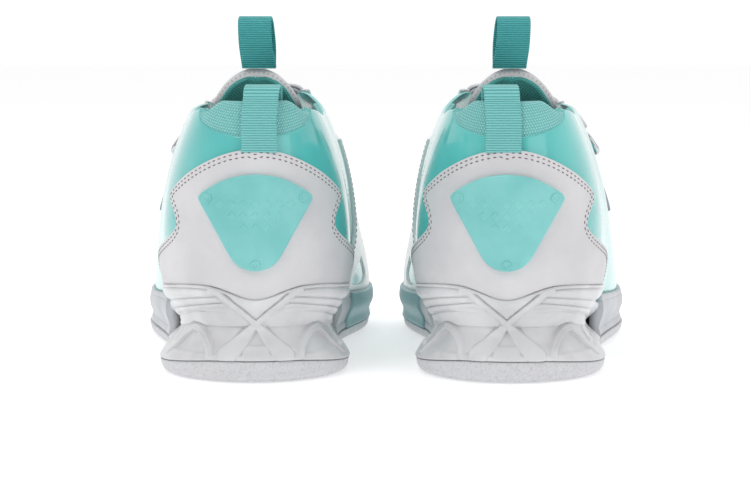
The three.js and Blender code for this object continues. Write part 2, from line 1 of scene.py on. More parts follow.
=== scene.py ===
# A pair of cheer shoes: surfaces worked out on grids round one shared upper, then mirrored for the right.
import math
import bpy
import numpy as np
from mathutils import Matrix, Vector


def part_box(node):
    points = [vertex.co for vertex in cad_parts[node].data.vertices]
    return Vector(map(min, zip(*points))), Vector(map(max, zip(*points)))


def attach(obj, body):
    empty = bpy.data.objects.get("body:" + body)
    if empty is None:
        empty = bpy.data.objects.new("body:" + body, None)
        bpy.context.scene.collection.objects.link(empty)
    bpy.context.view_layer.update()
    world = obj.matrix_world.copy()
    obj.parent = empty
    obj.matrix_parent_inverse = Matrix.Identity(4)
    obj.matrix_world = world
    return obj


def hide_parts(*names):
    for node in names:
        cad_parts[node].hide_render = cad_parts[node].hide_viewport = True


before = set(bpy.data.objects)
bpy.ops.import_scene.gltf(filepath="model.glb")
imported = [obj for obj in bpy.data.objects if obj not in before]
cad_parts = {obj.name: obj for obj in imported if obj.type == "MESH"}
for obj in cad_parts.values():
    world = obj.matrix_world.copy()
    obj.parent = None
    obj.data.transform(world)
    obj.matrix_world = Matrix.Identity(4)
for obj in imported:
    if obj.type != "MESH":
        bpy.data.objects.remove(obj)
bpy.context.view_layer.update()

# sizes in millimetres, in one shoe's own frame: heel at y 0, toe along +y, inner side towards +x
shoe = {"stance": 105, "toeOut": 3, "length": 284, "heelRubber": 8.8, "foreRubber": 5, "toeSpring": 7,
        "blockEnd": 118, "rimHeight": 41, "rimDip": 6, "rimDipWidth": 12, "wallHeight": 21.5, "layerGap": 0.7}


# ---- numbers and curves ----

def mix(a, b, share):
    return a + (b - a) * share


def ease(x, start, end):
    t = np.clip((x - start) / (end - start), 0, 1)
    return t * t * (3 - 2 * t)


# uniform cubic B-spline through evenly spaced values, mirrored at both ends
def law(values):
    f = np.array(values, float)
    wide = np.concatenate([f[1:2], f, f[-2:-1]])
    control = (8 * f - wide[:-2] - wide[2:]) / 6
    control = np.concatenate([control[2:0:-1], control, control[-2:-4:-1]])

    def read(share):
        place = np.clip(np.asarray(share, float), 0, 1) * (len(f) - 1)
        i = np.minimum(place.astype(int), len(f) - 2)
        t = place - i
        weights = [(1 - t) ** 3, 3 * t**3 - 6 * t * t + 4, -3 * t**3 + 3 * t * t + 3 * t + 1, t**3]
        return sum(w / 6 * control[i + 1 + k] for k, w in enumerate(weights))

    return read


# periodic cubic B-spline through a closed list of points
def closedCurve(points, count):
    p = np.array(points, float)
    n = len(p)
    matrix = np.eye(n) * 4 + np.roll(np.eye(n), 1, 0) + np.roll(np.eye(n), -1, 0)
    control = np.linalg.solve(matrix / 6, p)
    place = np.arange(count) * n / count
    i = place.astype(int)
    t = (place - i)[:, None]
    weights = [(1 - t) ** 3, 3 * t**3 - 6 * t * t + 4, -3 * t**3 + 3 * t * t + 3 * t + 1, t**3]
    return sum(w / 6 * control[(i - 1 + k) % n] for k, w in enumerate(weights))


# Catmull-Rom curve through open points, resampled to even spacing
def openCurve(points, count):
    p = np.array(points, float)
    p = np.concatenate([2 * p[:1] - p[1:2], p, 2 * p[-1:] - p[-2:-1]])
    place = np.linspace(0, len(p) - 3, 40 * len(p)).clip(0, len(p) - 3 - 1e-9)
    i = place.astype(int)
    t = (place - i)[:, None]
    a, b, c, d = p[i], p[i + 1], p[i + 2], p[i + 3]
    curve = 0.5 * (2 * b + (c - a) * t + (2 * a - 5 * b + 4 * c - d) * t**2 + (3 * b - a - 3 * c + d) * t**3)
    return resample(curve, count)


def resample(curve, count):
    travelled = np.concatenate([[0], np.cumsum(np.linalg.norm(np.diff(curve, axis=0), axis=1))])
    at = np.linspace(0, travelled[-1], count)
    return np.stack([np.interp(at, travelled, curve[:, k]) for k in range(curve.shape[1])], -1)


def unit(v):
    return v / (np.linalg.norm(v, axis=-1, keepdims=True) + 1e-12)


# ---- the surface of the upper ----

def ringOf(start, end, outer, inner, height, shift, drop=(0,) * 9):
    return {"start": start, "end": end, "outer": law(outer), "inner": law(inner), "height": law(height),
            "shift": law(shift), "drop": law(drop)}


feather = ringOf(6, 280,
                 [60, 59, 51.5, 38.5, 43, 56, 61, 68, 72], [60, 59, 51.5, 37.5, 38.5, 56, 61.5, 66, 72],
                 [30, 30, 30, 27, 19, 15, 15, 18, 20], [0, 0, 0, 0, 0, 1, 3, 5, 6])
lowBulge = ringOf(-4, 287,
                  [66, 66, 63, 49.5, 53.5, 58, 66, 74, 78], [66, 66, 63, 49.5, 51, 62, 70, 73, 78],
                  [58, 58, 57, 52, 46, 40, 40, 46, 49], [0, 0, 0, 0, 0, 1, 3, 5, 6])
highBulge = ringOf(3, 226,
                   [50, 50, 50, 43, 41.5, 28, 34, 38, 40], [50, 50, 50, 43.5, 43.5, 31, 36, 38, 40],
                   [92, 92, 91, 88, 90, 93, 77, 69, 66], [0, 0, 0, 0, 0, 0, 1, 2, 3])
opening = ringOf(10, 184,
                 [45.7, 43, 35.4, 30, 28.5, 21.6, 20.5, 23.5, 28],
                 [45.7, 43, 35.4, 31, 30, 21.6, 20.5, 23.5, 28],
                 [117, 117, 116, 111.5, 113, 121, 104, 91.5, 88], [0] * 9, [0, 0, 0, 0, 0, 7, 3, 0, 0])


# u runs round the shoe from the heel, outer side first; half width is the law's value times sin(2 pi u)
def ringPoint(ring, u):
    turn = np.asarray(u, float) % 1
    outside = turn <= 0.5
    share = np.where(outside, 2 * turn, 2 * (1 - turn))
    width = np.where(outside, ring["outer"](share), ring["inner"](share))
    x = ring["shift"](share) - np.sin(2 * math.pi * turn) * width
    y = (ring["start"] + ring["end"]) / 2 - (ring["end"] - ring["start"]) / 2 * np.cos(math.pi * share)
    return np.stack([x, y, ring["height"](share) - outside * ring["drop"](share)], -1)


# v climbs from the feather line to the opening on a cubic Bezier through the four rings
def upperPoint(u, v):
    u, v = np.broadcast_arrays(np.asarray(u, float), np.asarray(v, float))
    weights = [(1 - v) ** 3, 3 * v * (1 - v) ** 2, 3 * v * v * (1 - v), v**3]
    rings = (feather, lowBulge, highBulge, opening)
    return sum(w[..., None] * ringPoint(ring, u) for w, ring in zip(weights, rings))


def upperNormal(u, v):
    step = 1e-4
    along = upperPoint(u + step, v) - upperPoint(u - step, v)
    up = upperPoint(u, v + step) - upperPoint(u, v - step)
    return unit(np.cross(up, along))


def skin(u, v, out):
    return upperPoint(u, v) + upperNormal(u, v) * np.asarray(out, float)[..., None]


# the v at which the surface at u reaches a height, by halving
def climbTo(u, height):
    u, height = np.broadcast_arrays(np.asarray(u, float), np.asarray(height, float))
    low = np.full(u.shape, -0.1)
    high = np.full(u.shape, 1.05)
    for _ in range(24):
        middle = (low + high) / 2
        under = upperPoint(u, middle)[..., 2] < height
        low = np.where(under, middle, low)
        high = np.where(under, high, middle)
    return (low + high) / 2


# the u and v behind the heel at which the surface has this x and z, by Newton's method
def heelAt(x, z):
    x, z = np.broadcast_arrays(np.asarray(x, float), np.asarray(z, float))
    u = -np.arcsin(np.clip(x / 62, -0.95, 0.95)) / (2 * math.pi) * 0.9
    v = climbTo(u, z)
    for _ in range(14):
        here = upperPoint(u, v)
        du = (upperPoint(u + 1e-4, v) - here) / 1e-4
        dv = (upperPoint(u, v + 1e-4) - here) / 1e-4
        ex, ez = x - here[..., 0], z - here[..., 2]
        det = du[..., 0] * dv[..., 2] - du[..., 2] * dv[..., 0]
        u = np.clip(u + 0.8 * (ex * dv[..., 2] - ez * dv[..., 0]) / det, -0.2, 0.2)
        v = np.clip(v + 0.8 * (du[..., 0] * ez - du[..., 2] * ex) / det, -0.1, 1.1)
    return u, v


# ---- the sole's outline ----

flareOuter = law([4, 5, 5.5, 3.5, 2, 3, 3.5, 4, 4])
flareInner = law([4, 4, 4, 2, 1.5, 2, 2.5, 4, 4])


def shareOf(u):
    return 1 - np.abs(1 - 2 * (np.asarray(u, float) % 1))


def soleOut(u):
    return np.where(np.asarray(u, float) % 1 <= 0.5, flareOuter(shareOf(u)), flareInner(shareOf(u)))


def soleLift(u):
    return shoe["toeSpring"] * ease(shareOf(u), 0.72, 1)


def soleBase(u):
    return soleLift(u) + mix(shoe["heelRubber"], shoe["foreRubber"], ease(shareOf(u), 0.05, 0.27)) + 0.3


def rimHeight(u):
    there = ringPoint(feather, u)
    dip = shoe["rimDip"] * np.exp(-((there[..., 0] / shoe["rimDipWidth"]) ** 2)) * (shareOf(u) < 0.3)
    fall = 0.1 * np.maximum(0, there[..., 1] - 12) + 8.9 * ease(there[..., 1], 62, 118)
    return shoe["rimHeight"] - dip - fall


def wallTop(u):
    return shoe["wallHeight"] + 4 * ease(shareOf(u), 0.75, 1) + 4.5 * (1 - ease(shareOf(u), 0.42, 0.6))


# a point beside the feather line, moved outward in plan
def besideFeather(u, out, height):
    step = 1e-4
    here = ringPoint(feather, u)
    along = unit(ringPoint(feather, u + step) - ringPoint(feather, u - step))
    x = here[..., 0] - along[..., 1] * out
    y = here[..., 1] + along[..., 0] * out
    return np.stack(np.broadcast_arrays(x, y, height), -1)


# ---- meshes ----

def gridQuads(rows, columns, wrap=False):
    r = np.arange(rows - 1)[:, None]
    c = np.arange(columns if wrap else columns - 1)[None, :]
    nextC = (c + 1) % columns
    quads = [r * columns + c, r * columns + nextC, (r + 1) * columns + nextC, (r + 1) * columns + c]
    return np.stack(np.broadcast_arrays(*quads), -1).reshape(-1, 4)


# a shape is points (n, 3), quads (m, 4), triangles (k, 3) and uv (n, 2)
def shape(points, quads, triangles=None, uv=None):
    points = np.asarray(points, float).reshape(-1, 3)
    triangles = np.zeros((0, 3), int) if triangles is None else np.asarray(triangles, int).reshape(-1, 3)
    quads = np.asarray(quads, int).reshape(-1, 4)
    corners = np.concatenate([quads[:, [0, 1, 2]], quads[:, [0, 2, 3]], triangles])
    a, b, c = (points[corners[:, k]] for k in range(3))
    if (a * np.cross(b, c)).sum() < 0:  # signed volume: faces turn outward
        quads, triangles = quads[:, ::-1], triangles[:, ::-1]
    uv = points[:, [0, 2]] if uv is None else np.asarray(uv, float).reshape(-1, 2)
    return {"points": points, "quads": quads, "triangles": triangles, "uv": uv}


def joined(*shapes):
    start = np.cumsum([0] + [len(s["points"]) for s in shapes])
    return {
        "points": np.concatenate([s["points"] for s in shapes]),
        "quads": np.concatenate([s["quads"] + k for s, k in zip(shapes, start)]),
        "triangles": np.concatenate([s["triangles"] + k for s, k in zip(shapes, start)]),
        "uv": np.concatenate([s["uv"] for s in shapes]),
    }


# a closed sheet between two grids of points, with side walls all round
def closedSheet(inner, outer, uv=None):
    rows, columns = inner.shape[:2]
    n = rows * columns
    face = gridQuads(rows, columns)
    index = np.arange(n).reshape(rows, columns)
    rim = np.concatenate([index[0, :-1], index[:-1, -1], index[-1, :0:-1], index[:0:-1, 0]])
    nextRim = np.roll(rim, -1)
    walls = np.stack([rim, nextRim, nextRim + n, rim + n], -1)
    quads = np.concatenate([face, face[:, ::-1] + n, walls[:, ::-1]])
    uv = None if uv is None else np.concatenate([uv.reshape(-1, 2)] * 2)
    return shape(np.concatenate([inner.reshape(-1, 3), outer.reshape(-1, 3)]), quads, None, uv)


# a closed skin through rings of equal length, each end fanned to its centre
def lofted(rings, uv=None):
    rings = np.asarray(rings, float)
    rows, columns = rings.shape[:2]
    n = rows * columns
    quads = gridQuads(rows, columns, wrap=True)
    points = np.concatenate([rings.reshape(-1, 3), [rings[0].mean(0)], [rings[-1].mean(0)]])
    c = np.arange(columns)
    nextC = (c + 1) % columns
    low = np.stack([np.full(columns, n), nextC, c], -1)
    high = np.stack([np.full(columns, n + 1), n - columns + c, n - columns + nextC], -1)
    if uv is None:
        travelled = np.cumsum(np.linalg.norm(np.roll(rings[rows // 2], -1, 0) - rings[rows // 2], axis=1))
        climb = np.cumsum(np.linalg.norm(np.diff(rings[:, 0], axis=0, prepend=rings[:1, 0]), axis=1))
        uv = np.stack(np.broadcast_arrays(travelled[None, :], climb[:, None]), -1).reshape(-1, 2)
    uv = np.concatenate([uv.reshape(-1, 2), uv.reshape(-1, 2)[:1], uv.reshape(-1, 2)[-1:]])
    return shape(points, quads, np.concatenate([low, high]), uv)


# a tube of sections that closes on itself
def closedTube(rings):
    rings = np.asarray(rings, float)
    rows, columns = rings.shape[:2]
    quads = gridQuads(rows + 1, columns, wrap=True) % (rows * columns)
    return shape(rings.reshape(-1, 3), quads)


# grid shares that crowd into the rolled edge at both ends of a width
def crowded(count, width, roll):
    edge = np.array([0, 0.12, 0.3, 0.55, 0.8, 1.0]) * min(roll / width, 0.2)
    middle = np.linspace(edge[-1], 1 - edge[-1], count)[1:-1]
    return np.concatenate([edge, middle, (1 - edge)[::-1]])


def lengthsAlong(points, axis):
    gaps = np.linalg.norm(np.diff(points, axis=axis), axis=-1)
    start = np.zeros_like(np.take(gaps, [0], axis))
    return np.concatenate([start, np.cumsum(gaps, axis)], axis)


# how far each grid point is from the grid's four edges, and its place in millimetres
def gridDistances(points):
    across = lengthsAlong(points, 1)
    along = lengthsAlong(points, 0)
    fromSides = np.minimum(across, across[:, -1:] - across)
    fromEnds = np.minimum(along, along[-1:] - along)
    place = np.stack([across - across[:, -1:] / 2, along], -1)
    return fromSides, fromEnds, place


# a panel of the upper with a rolled edge: its height follows a quarter circle over the roll
def panel(place, columns, rows, low, high, roll=0.9, relief=None):
    s = crowded(columns, 90, roll)[None, :]
    t = crowded(rows, 60, roll)[:, None]
    u, v = np.broadcast_arrays(*place(*np.broadcast_arrays(s, t)))
    flat = upperPoint(u, v)
    normal = upperNormal(u, v)
    fromSides, fromEnds, uv = gridDistances(flat)
    inside = np.clip(np.minimum(fromSides, fromEnds) / roll, 0, 1)
    rise = 0.35 + 0.65 * np.sqrt(1 - (1 - inside) ** 2)
    height = low + (high - low) * rise
    if relief is not None:
        height = height + relief(u, v, flat, inside)
    return closedSheet(flat + normal * low, flat + normal * height[..., None], uv)


def turnIntoPlace(points):
    angle = math.radians(shoe["toeOut"])
    x = points[:, 0] * math.cos(angle) - points[:, 1] * math.sin(angle) - shoe["stance"] / 2
    y = points[:, 0] * math.sin(angle) + points[:, 1] * math.cos(angle)
    return np.stack([x, y + shoe["originY"], points[:, 2]], -1) * 0.001


# the shoe frame's place along y comes from the CAD outsole's own box
edgeU = np.linspace(0, 1, 721)
shoe["originY"] = 0
rearmost = turnIntoPlace(besideFeather(edgeU, soleOut(edgeU) + 0.3, 0))[:, 1].min()
shoe["originY"] = (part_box("left_outsole")[0].y - rearmost) * 1000


def newObject(name, form, mirrored, material):
    points = turnIntoPlace(form["points"])
    quads, triangles = form["quads"], form["triangles"]
    if mirrored:
        points = points * [-1, 1, 1]
        quads, triangles = quads[:, ::-1], triangles[:, ::-1]
    corners = np.concatenate([quads.ravel(), triangles.ravel()]).astype(np.int32)
    starts = np.concatenate([np.arange(len(quads)) * 4, len(quads) * 4 + np.arange(len(triangles)) * 3])
    mesh = bpy.data.meshes.new(name)
    mesh.vertices.add(len(points))
    mesh.vertices.foreach_set("co", points.astype(np.float32).ravel())
    mesh.loops.add(len(corners))
    mesh.loops.foreach_set("vertex_index", corners)
    mesh.polygons.add(len(starts))
    mesh.polygons.foreach_set("loop_start", starts.astype(np.int32))
    mesh.update(calc_edges=True)
    layer = mesh.uv_layers.new(name="UVMap")
    layer.data.foreach_set("uv", form["uv"][corners].astype(np.float32).ravel() * 0.001)
    mesh.polygons.foreach_set("use_smooth", np.ones(len(starts), bool))
    mesh.validate()
    mesh.materials.append(material)
    piece = bpy.data.objects.new(name, mesh)
    bpy.context.scene.collection.objects.link(piece)
    return piece


# the same piece for both shoes: it rides on its body and stands for its CAD nodes
def addPair(name, form, material, body="shoe", nodes=(), sharp=None):
    for side in ("left", "right"):
        piece = newObject(f"{side}_{name}", form, side == "right", material)
        if sharp:
            piece.data.set_sharp_from_angle(angle=math.radians(sharp))
        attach(piece, f"{side}_{body}")
        if nodes:
            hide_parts(*[f"{side}_{node}" for node in nodes])


# ---- materials ----

# wraps a shader socket, so that maths on it reads as an expression and adds the Math nodes
class Value:
    def __init__(self, build, socket):
        self.build, self.socket = build, socket

    def math(self, operation, *others):
        return self.build.node("ShaderNodeMath", {"operation": operation}, [self, *others])

    # for a plain number on the left
    def reversed(self, operation, other):
        return self.build.node("ShaderNodeMath", {"operation": operation}, [other, self])

    def __add__(self, other):
        return self.math("ADD", other)

    def __radd__(self, other):
        return self.reversed("ADD", other)

    def __sub__(self, other):
        return self.math("SUBTRACT", other)

    def __rsub__(self, other):
        return self.reversed("SUBTRACT", other)

    def __mul__(self, other):
        return self.math("MULTIPLY", other)

    def __rmul__(self, other):
        return self.reversed("MULTIPLY", other)

    def __truediv__(self, other):
        return self.math("DIVIDE", other)

    def __pow__(self, other):
        return self.math("POWER", other)


class Finish:
    def __init__(self, name, roughness, **fixed):
        self.material = bpy.data.materials.new(name)
        self.material.use_nodes = True
        self.tree = self.material.node_tree
        self.surface = self.tree.nodes["Principled BSDF"]
        self.surface.inputs["Roughness"].default_value = roughness
        for socket, value in fixed.items():
            self.surface.inputs[socket.replace("_", " ")].default_value = value

    # any node: its settings are set first, then its sockets are given values or links, by place or by name
    def node(self, kind, settings=None, sockets=(), output=0):
        made = self.tree.nodes.new(kind)
        for key, value in (settings or {}).items():
            setattr(made, key, value)
        named = sockets.items() if isinstance(sockets, dict) else enumerate(sockets)
        for key, value in named:
            if isinstance(value, Value):
                self.tree.links.new(value.socket, made.inputs[key])
            else:
                made.inputs[key].default_value = value
        return Value(self, made.outputs[output])

    def place(self, source="Object"):
        return self.node("ShaderNodeTexCoord", output=source)

    def part(self, vector, axis):
        return self.node("ShaderNodeSeparateXYZ", sockets=[vector], output=axis)

    def stretched(self, vector, scale, turn=(0, 0, 0)):
        return self.node("ShaderNodeMapping", {"vector_type": "POINT"},
                         {"Vector": vector, "Scale": scale, "Rotation": turn})

    def noise(self, vector, scale, detail=3, roughness=0.55):
        return self.node("ShaderNodeTexNoise", {"noise_dimensions": "3D"},
                         {"Vector": vector, "Scale": scale, "Detail": detail, "Roughness": roughness})

    def waves(self, value, pitch):
        return 0.5 + 0.5 * (value * (2 * math.pi / pitch)).math("SINE")

    def between(self, mask, low, high):
        return self.node("ShaderNodeMapRange", {"interpolation_type": "SMOOTHSTEP"}, [mask, low, high])

    def blend(self, factor, a, b):
        made = self.tree.nodes.new("ShaderNodeMix")
        made.data_type = "RGBA"
        self.tree.links.new(factor.socket, made.inputs["Factor"])
        for key, value in ((6, a), (7, b)):
            if isinstance(value, Value):
                self.tree.links.new(value.socket, made.inputs[key])
            else:
                made.inputs[key].default_value = (*value, 1)
        return Value(self, made.outputs[2])

    def colour(self, value):
        if isinstance(value, Value):
            self.tree.links.new(value.socket, self.surface.inputs["Base Color"])
        else:
            self.surface.inputs["Base Color"].default_value = (*value, 1)

    def roughness(self, value):
        self.tree.links.new(value.socket, self.surface.inputs["Roughness"])

    # heights in millimetres
    def bump(self, height, distance=0.001, strength=1.0):
        made = self.node("ShaderNodeBump", {}, {"Height": height, "Distance": distance, "Strength": strength})
        self.tree.links.new(made.socket, self.surface.inputs["Normal"])


# an sRGB colour from 0 to 255 as linear
def tint(r, g, b):
    shares = (r / 255, g / 255, b / 255)
    return tuple(c / 12.92 if c <= 0.04045 else ((c + 0.055) / 1.055) ** 2.4 for c in shares)


def patentLeather():
    look = {"deep": tint(84, 187, 184), "light": tint(98, 200, 195), "pebble": 55, "waviness": 0.25}
    f = Finish("patentLeather", 0.16, Coat_Weight=0.55, Coat_Roughness=0.05)
    at = f.place()
    cloud = f.noise(at, 24, 2)
    f.colour(f.blend(f.between(cloud, 0.3, 0.7), look["deep"], look["light"]))
    f.roughness(0.12 + 0.12 * f.noise(at, 140, 3))
    f.bump(look["waviness"] * f.noise(at, look["pebble"], 2) + 0.02 * f.noise(at, 900, 2), 0.001, 0.6)
    return f.material


# white action leather with a fine crosswise grain
def whiteLeather(name, light, shade, smoothest=0.42):
    look = {"light": light, "shade": shade, "grain": 0.05}
    f = Finish(name, 0.5, Specular_IOR_Level=0.4)
    at = f.place()
    fine = f.noise(f.stretched(at, (0.5, 0.5, 2.4)), 1500, 3)
    creases = f.noise(f.stretched(at, (0.6, 0.6, 1.6)), 420, 4, 0.65)
    cloud = f.between(f.noise(at, 30, 3), 0.25, 0.75)
    tone = 0.55 * cloud + 0.25 * creases + 0.2 * fine
    f.colour(f.blend(tone, look["shade"], look["light"]))
    f.roughness(smoothest + 0.22 * creases)
    f.bump(look["grain"] * fine + 0.06 * creases, 0.001, 0.9)
    return f.material


def mouldedPlastic(name, light, shade, roughness, grain=0.02):
    f = Finish(name, roughness, Coat_Weight=0.12, Coat_Roughness=0.25)
    at = f.place()
    cloud = f.between(f.noise(at, 45, 3), 0.3, 0.7)
    f.colour(f.blend(cloud, shade, light))
    f.roughness(roughness - 0.06 + 0.14 * f.noise(at, 260, 3))
    f.bump(grain * f.noise(at, 1700, 2) + 0.03 * f.noise(at, 160, 2), 0.001, 0.7)
    return f.material


def speckledRubber():
    look = {"base": tint(214, 214, 217), "dark": tint(200, 200, 204), "bright": tint(230, 230, 232)}
    f = Finish("speckledRubber", 0.62, Specular_IOR_Level=0.35)
    at = f.place()
    flecks = f.between(f.noise(at, 900, 2), 0.52, 0.66)
    # the bright flecks blended into the colour are painted glints, a painted highlight; the darker flecks are
    # the rubber's own speckle
    paintedGlints = f.between(f.noise(f.stretched(at, (1, 1, 1), (0.4, 0.2, 0)), 1150, 2), 0.6, 0.72)
    base = f.blend(flecks, look["base"], look["dark"])
    f.colour(f.blend(paintedGlints, base, look["bright"]))
    f.roughness(0.52 + 0.2 * f.noise(at, 500, 2))
    f.bump(0.07 * f.noise(at, 800, 3) + 0.04 * flecks, 0.001, 0.9)
    return f.material


# knitted mesh: rows of stitches leaning one way, with darker holes between them
def knitMesh(name, light, dark, pitch=1.15, hole=0.55):
    f = Finish(name, 0.85, Sheen_Weight=0.25, Sheen_Roughness=0.5)
    uv = f.place("UV")
    across = f.part(uv, 0)
    along = f.part(uv, 1)
    slant = across + 0.55 * along
    rows = f.waves(along, pitch * 0.001)
    columns = f.waves(slant, pitch * 0.00105)
    thread = f.between(rows * columns, 0.03, 0.5)
    fuzz = f.noise(f.place(), 1600, 2)
    f.colour(f.blend(thread * (0.7 + 0.5 * fuzz), dark, light))
    f.roughness(0.75 + 0.2 * fuzz)
    f.bump(hole * thread + 0.12 * fuzz, 0.001, 0.8)
    return f.material


# woven tape: ribs across its length, with fine warp threads
def webbingTape(name, light, dark, pitch=1.05):
    f = Finish(name, 0.7, Sheen_Weight=0.2, Sheen_Roughness=0.4)
    uv = f.place("UV")
    ribs = f.waves(f.part(uv, 1), pitch * 0.001)
    warp = f.waves(f.part(uv, 0), 0.00055)
    fuzz = f.noise(f.place(), 1400, 2)
    tone = f.between(ribs, 0.1, 0.75) * (0.82 + 0.18 * warp) * (0.8 + 0.35 * fuzz)
    f.colour(f.blend(tone, dark, light))
    f.roughness(0.6 + 0.25 * fuzz)
    f.bump(0.3 * ribs + 0.08 * warp + 0.05 * fuzz, 0.001, 0.8)
    return f.material


def polishedMetal():
    f = Finish("polishedMetal", 0.2, Metallic=1.0)
    at = f.place()
    f.colour(f.blend(f.noise(at, 90, 2), tint(188, 190, 193), tint(222, 223, 226)))
    f.roughness(0.14 + 0.16 * f.noise(at, 700, 2))
    f.bump(0.01 * f.noise(at, 1200, 2), 0.001, 0.5)
    return f.material


def thread(name, colour, shade):
    f = Finish(name, 0.75, Sheen_Weight=0.1)
    at = f.place()
    f.colour(f.blend(f.noise(at, 3000, 1), shade, colour))
    f.roughness(0.65 + 0.2 * f.noise(at, 2500, 1))
    f.bump(0.05 * f.noise(at, 4200, 1), 0.001, 0.6)
    return f.material


patent = patentLeather()
leather = whiteLeather("whiteLeather", tint(226, 225, 227), tint(203, 201, 204))
# the saddle's leather is a whiter copy of the white leather: the extra whiteness is painted light for the
# saddle's shaded side between the shoes, while its gloss is real
glossPaintedLightLeather = whiteLeather("glossPaintedLightLeather", tint(252, 253, 253), tint(238, 242, 242), 0.12)
heelPlastic = mouldedPlastic("heelPlastic", tint(224, 224, 226), tint(206, 206, 208), 0.34)
badgePlastic = mouldedPlastic("badgePlastic", tint(134, 208, 205), tint(118, 196, 194), 0.36)
midsoleFoam = mouldedPlastic("midsoleFoam", tint(206, 208, 212), tint(190, 191, 196), 0.5)
wrapRubber = mouldedPlastic("wrapRubber", tint(148, 188, 190), tint(132, 172, 176), 0.45)
boardFibre = mouldedPlastic("boardFibre", tint(196, 180, 150), tint(168, 152, 122), 0.8, 0.08)
stiffPlastic = mouldedPlastic("stiffPlastic", tint(232, 230, 222), tint(214, 211, 202), 0.55)
rubber = speckledRubber()
collarKnit = knitMesh("collarKnit", tint(158, 220, 218), tint(106, 188, 185), 1.2, 0.4)
tongueKnit = knitMesh("tongueKnit", tint(104, 198, 192), tint(52, 152, 147), 1.2, 0.45)
footbedCloth = knitMesh("footbedCloth", tint(86, 178, 172), tint(46, 132, 128), 0.9, 0.3)
heelTape = webbingTape("heelTape", tint(140, 214, 212), tint(84, 168, 166))
tongueTape = webbingTape("tongueTape", tint(86, 188, 189), tint(44, 144, 146), 1.0)
# the strap tape's grey is painted shade: it stands for the band's shadowed side under the white tail
strapTapePaintedShade = webbingTape("strapTapePaintedShade", tint(196, 202, 208), tint(164, 171, 178), 0.8)
ringMetal = polishedMetal()
# the stitch thread's dark colour is painted shade: it stands for the shadow in the stitch holes along the white
# cover, eyestays and saddle
paintedShadeThread = thread("paintedShadeThread", tint(126, 108, 112), tint(92, 80, 86))
paleThread = thread("paleThread", tint(214, 200, 198), tint(178, 158, 158))
print("materials made")


# ---- stitches ----

# small half-sunk grains along a path: each is an ellipsoid with its long axis on the path
def stitches(path, normal, pitch, length, width, rise):
    travelled = np.concatenate([[0], np.cumsum(np.linalg.norm(np.diff(path, axis=0), axis=1))])
    count = max(2, int(travelled[-1] / pitch))
    at = (np.arange(count) + 0.5) * travelled[-1] / count

    def follow(values):
        return np.stack([np.interp(at, travelled, values[:, k]) for k in range(3)], -1)

    centre = follow(path)
    forward = unit(follow(np.gradient(path, axis=0)))
    up = unit(follow(normal))
    side = unit(np.cross(up, forward))
    turns, bands = 8, 4
    polar = (np.arange(1, bands) * math.pi / bands)[:, None]
    round_ = (np.arange(turns) * 2 * math.pi / turns)[None, :]
    sides = np.sin(polar) * np.cos(round_), np.sin(polar) * np.sin(round_)
    ball = np.stack(np.broadcast_arrays(np.cos(polar), *sides), -1)
    ball = np.concatenate([ball.reshape(-1, 3), [[1, 0, 0], [-1, 0, 0]]])
    a, b, c = ball[:, 0] * length / 2, ball[:, 1] * width / 2, ball[:, 2] * rise
    frameOf = np.stack([forward, side, up], 1)
    points = centre[:, None] + np.einsum("kj,njd->nkd", np.stack([a, b, c], -1), frameOf)
    n = len(ball)
    quads = gridQuads(bands - 1, turns, wrap=True)
    k = np.arange(turns)
    nextK = (k + 1) % turns
    triangles = np.concatenate([np.stack([np.full(turns, n - 2), nextK, k], -1),
                                np.stack([np.full(turns, n - 1), n - 2 - turns + k, n - 2 - turns + nextK], -1)])
    shift = (np.arange(count) * n)[:, None, None]
    return shape(points, (quads[None] + shift).reshape(-1, 4), (triangles[None] + shift).reshape(-1, 3))


# a seam at a true distance inside the edge that u and v follow; inward is +1 or -1 for the side it lies on
def seam(u, v, out, inset=0.0, inward=1, pitch=2.7, length=1.5, width=0.55, rise=0.28):
    points = skin(u, v, np.full(np.shape(u), out))
    normal = upperNormal(u, v)
    forward = unit(np.gradient(points, axis=0))
    points = points + inward * inset * np.cross(normal, forward)
    even = resample(np.concatenate([points, normal], -1), 500)
    return stitches(even[:, :3], unit(even[:, 3:]), pitch, length, width, rise)


# ---- the sole ----

def buildOutsole():
    tread = {"grooves": 46, "depth": 0.9, "roll": 3.2}
    u = np.linspace(0, 1, 480, endpoint=False)
    lift, top = soleLift(u), soleBase(u) - 0.3
    heights = np.concatenate([[0, 0], tread["roll"] * (1 - np.cos(np.linspace(0.25, 1, 7) * math.pi / 2)),
                              [0.62, 0.9, 0.97, 1.0]])
    insets = np.concatenate([[-9, -3.4], -tread["roll"] * (1 - np.sin(np.linspace(0.25, 1, 7) * math.pi / 2)),
                             [0.3, 0.3, 0.1, -0.6]])
    notch = np.clip(np.sin(u * 2 * math.pi * tread["grooves"]) * 9 - 8.2, 0, 1) * tread["depth"]
    rings = []
    for k, (h, inset) in enumerate(zip(heights, insets)):
        z = lift + h if k < 9 else mix(lift + heights[8], top, h)
        z = z + notch * (k < 5) * (k > 0)
        rings.append(besideFeather(u, soleOut(u) + inset, z))
    return lofted(rings)


# distance of points (q, z) to a segment, and the share of the way along it
def nearSegment(q, z, a, b):
    dq, dz = b[0] - a[0], b[1] - a[1]
    t = np.clip(((q - a[0]) * dq + (z - a[1]) * dz) / (dq * dq + dz * dz), 0, 1)
    return np.hypot(q - a[0] - t * dq, z - a[1] - t * dz), t


# a raised rib along the points; its width may change from start to end
def ridge(q, z, points, width, endWidth=None, soft=0.8):
    best = np.full(np.shape(q), -9.0)
    count = len(points) - 1
    for k in range(count):
        d, t = nearSegment(q, z, points[k], points[k + 1])
        best = np.maximum(best, mix(width, endWidth or width, (k + t) / count) / 2 - d)
    return ease(best, -soft / 2, soft / 2)


# a fine pressed line along the points, 1 on the line
def groove(q, z, points, width=0.42):
    d = np.min([nearSegment(q, z, a, b)[0] for a, b in zip(points[:-1], points[1:])], axis=0)
    return np.exp(-((d / width) ** 2))


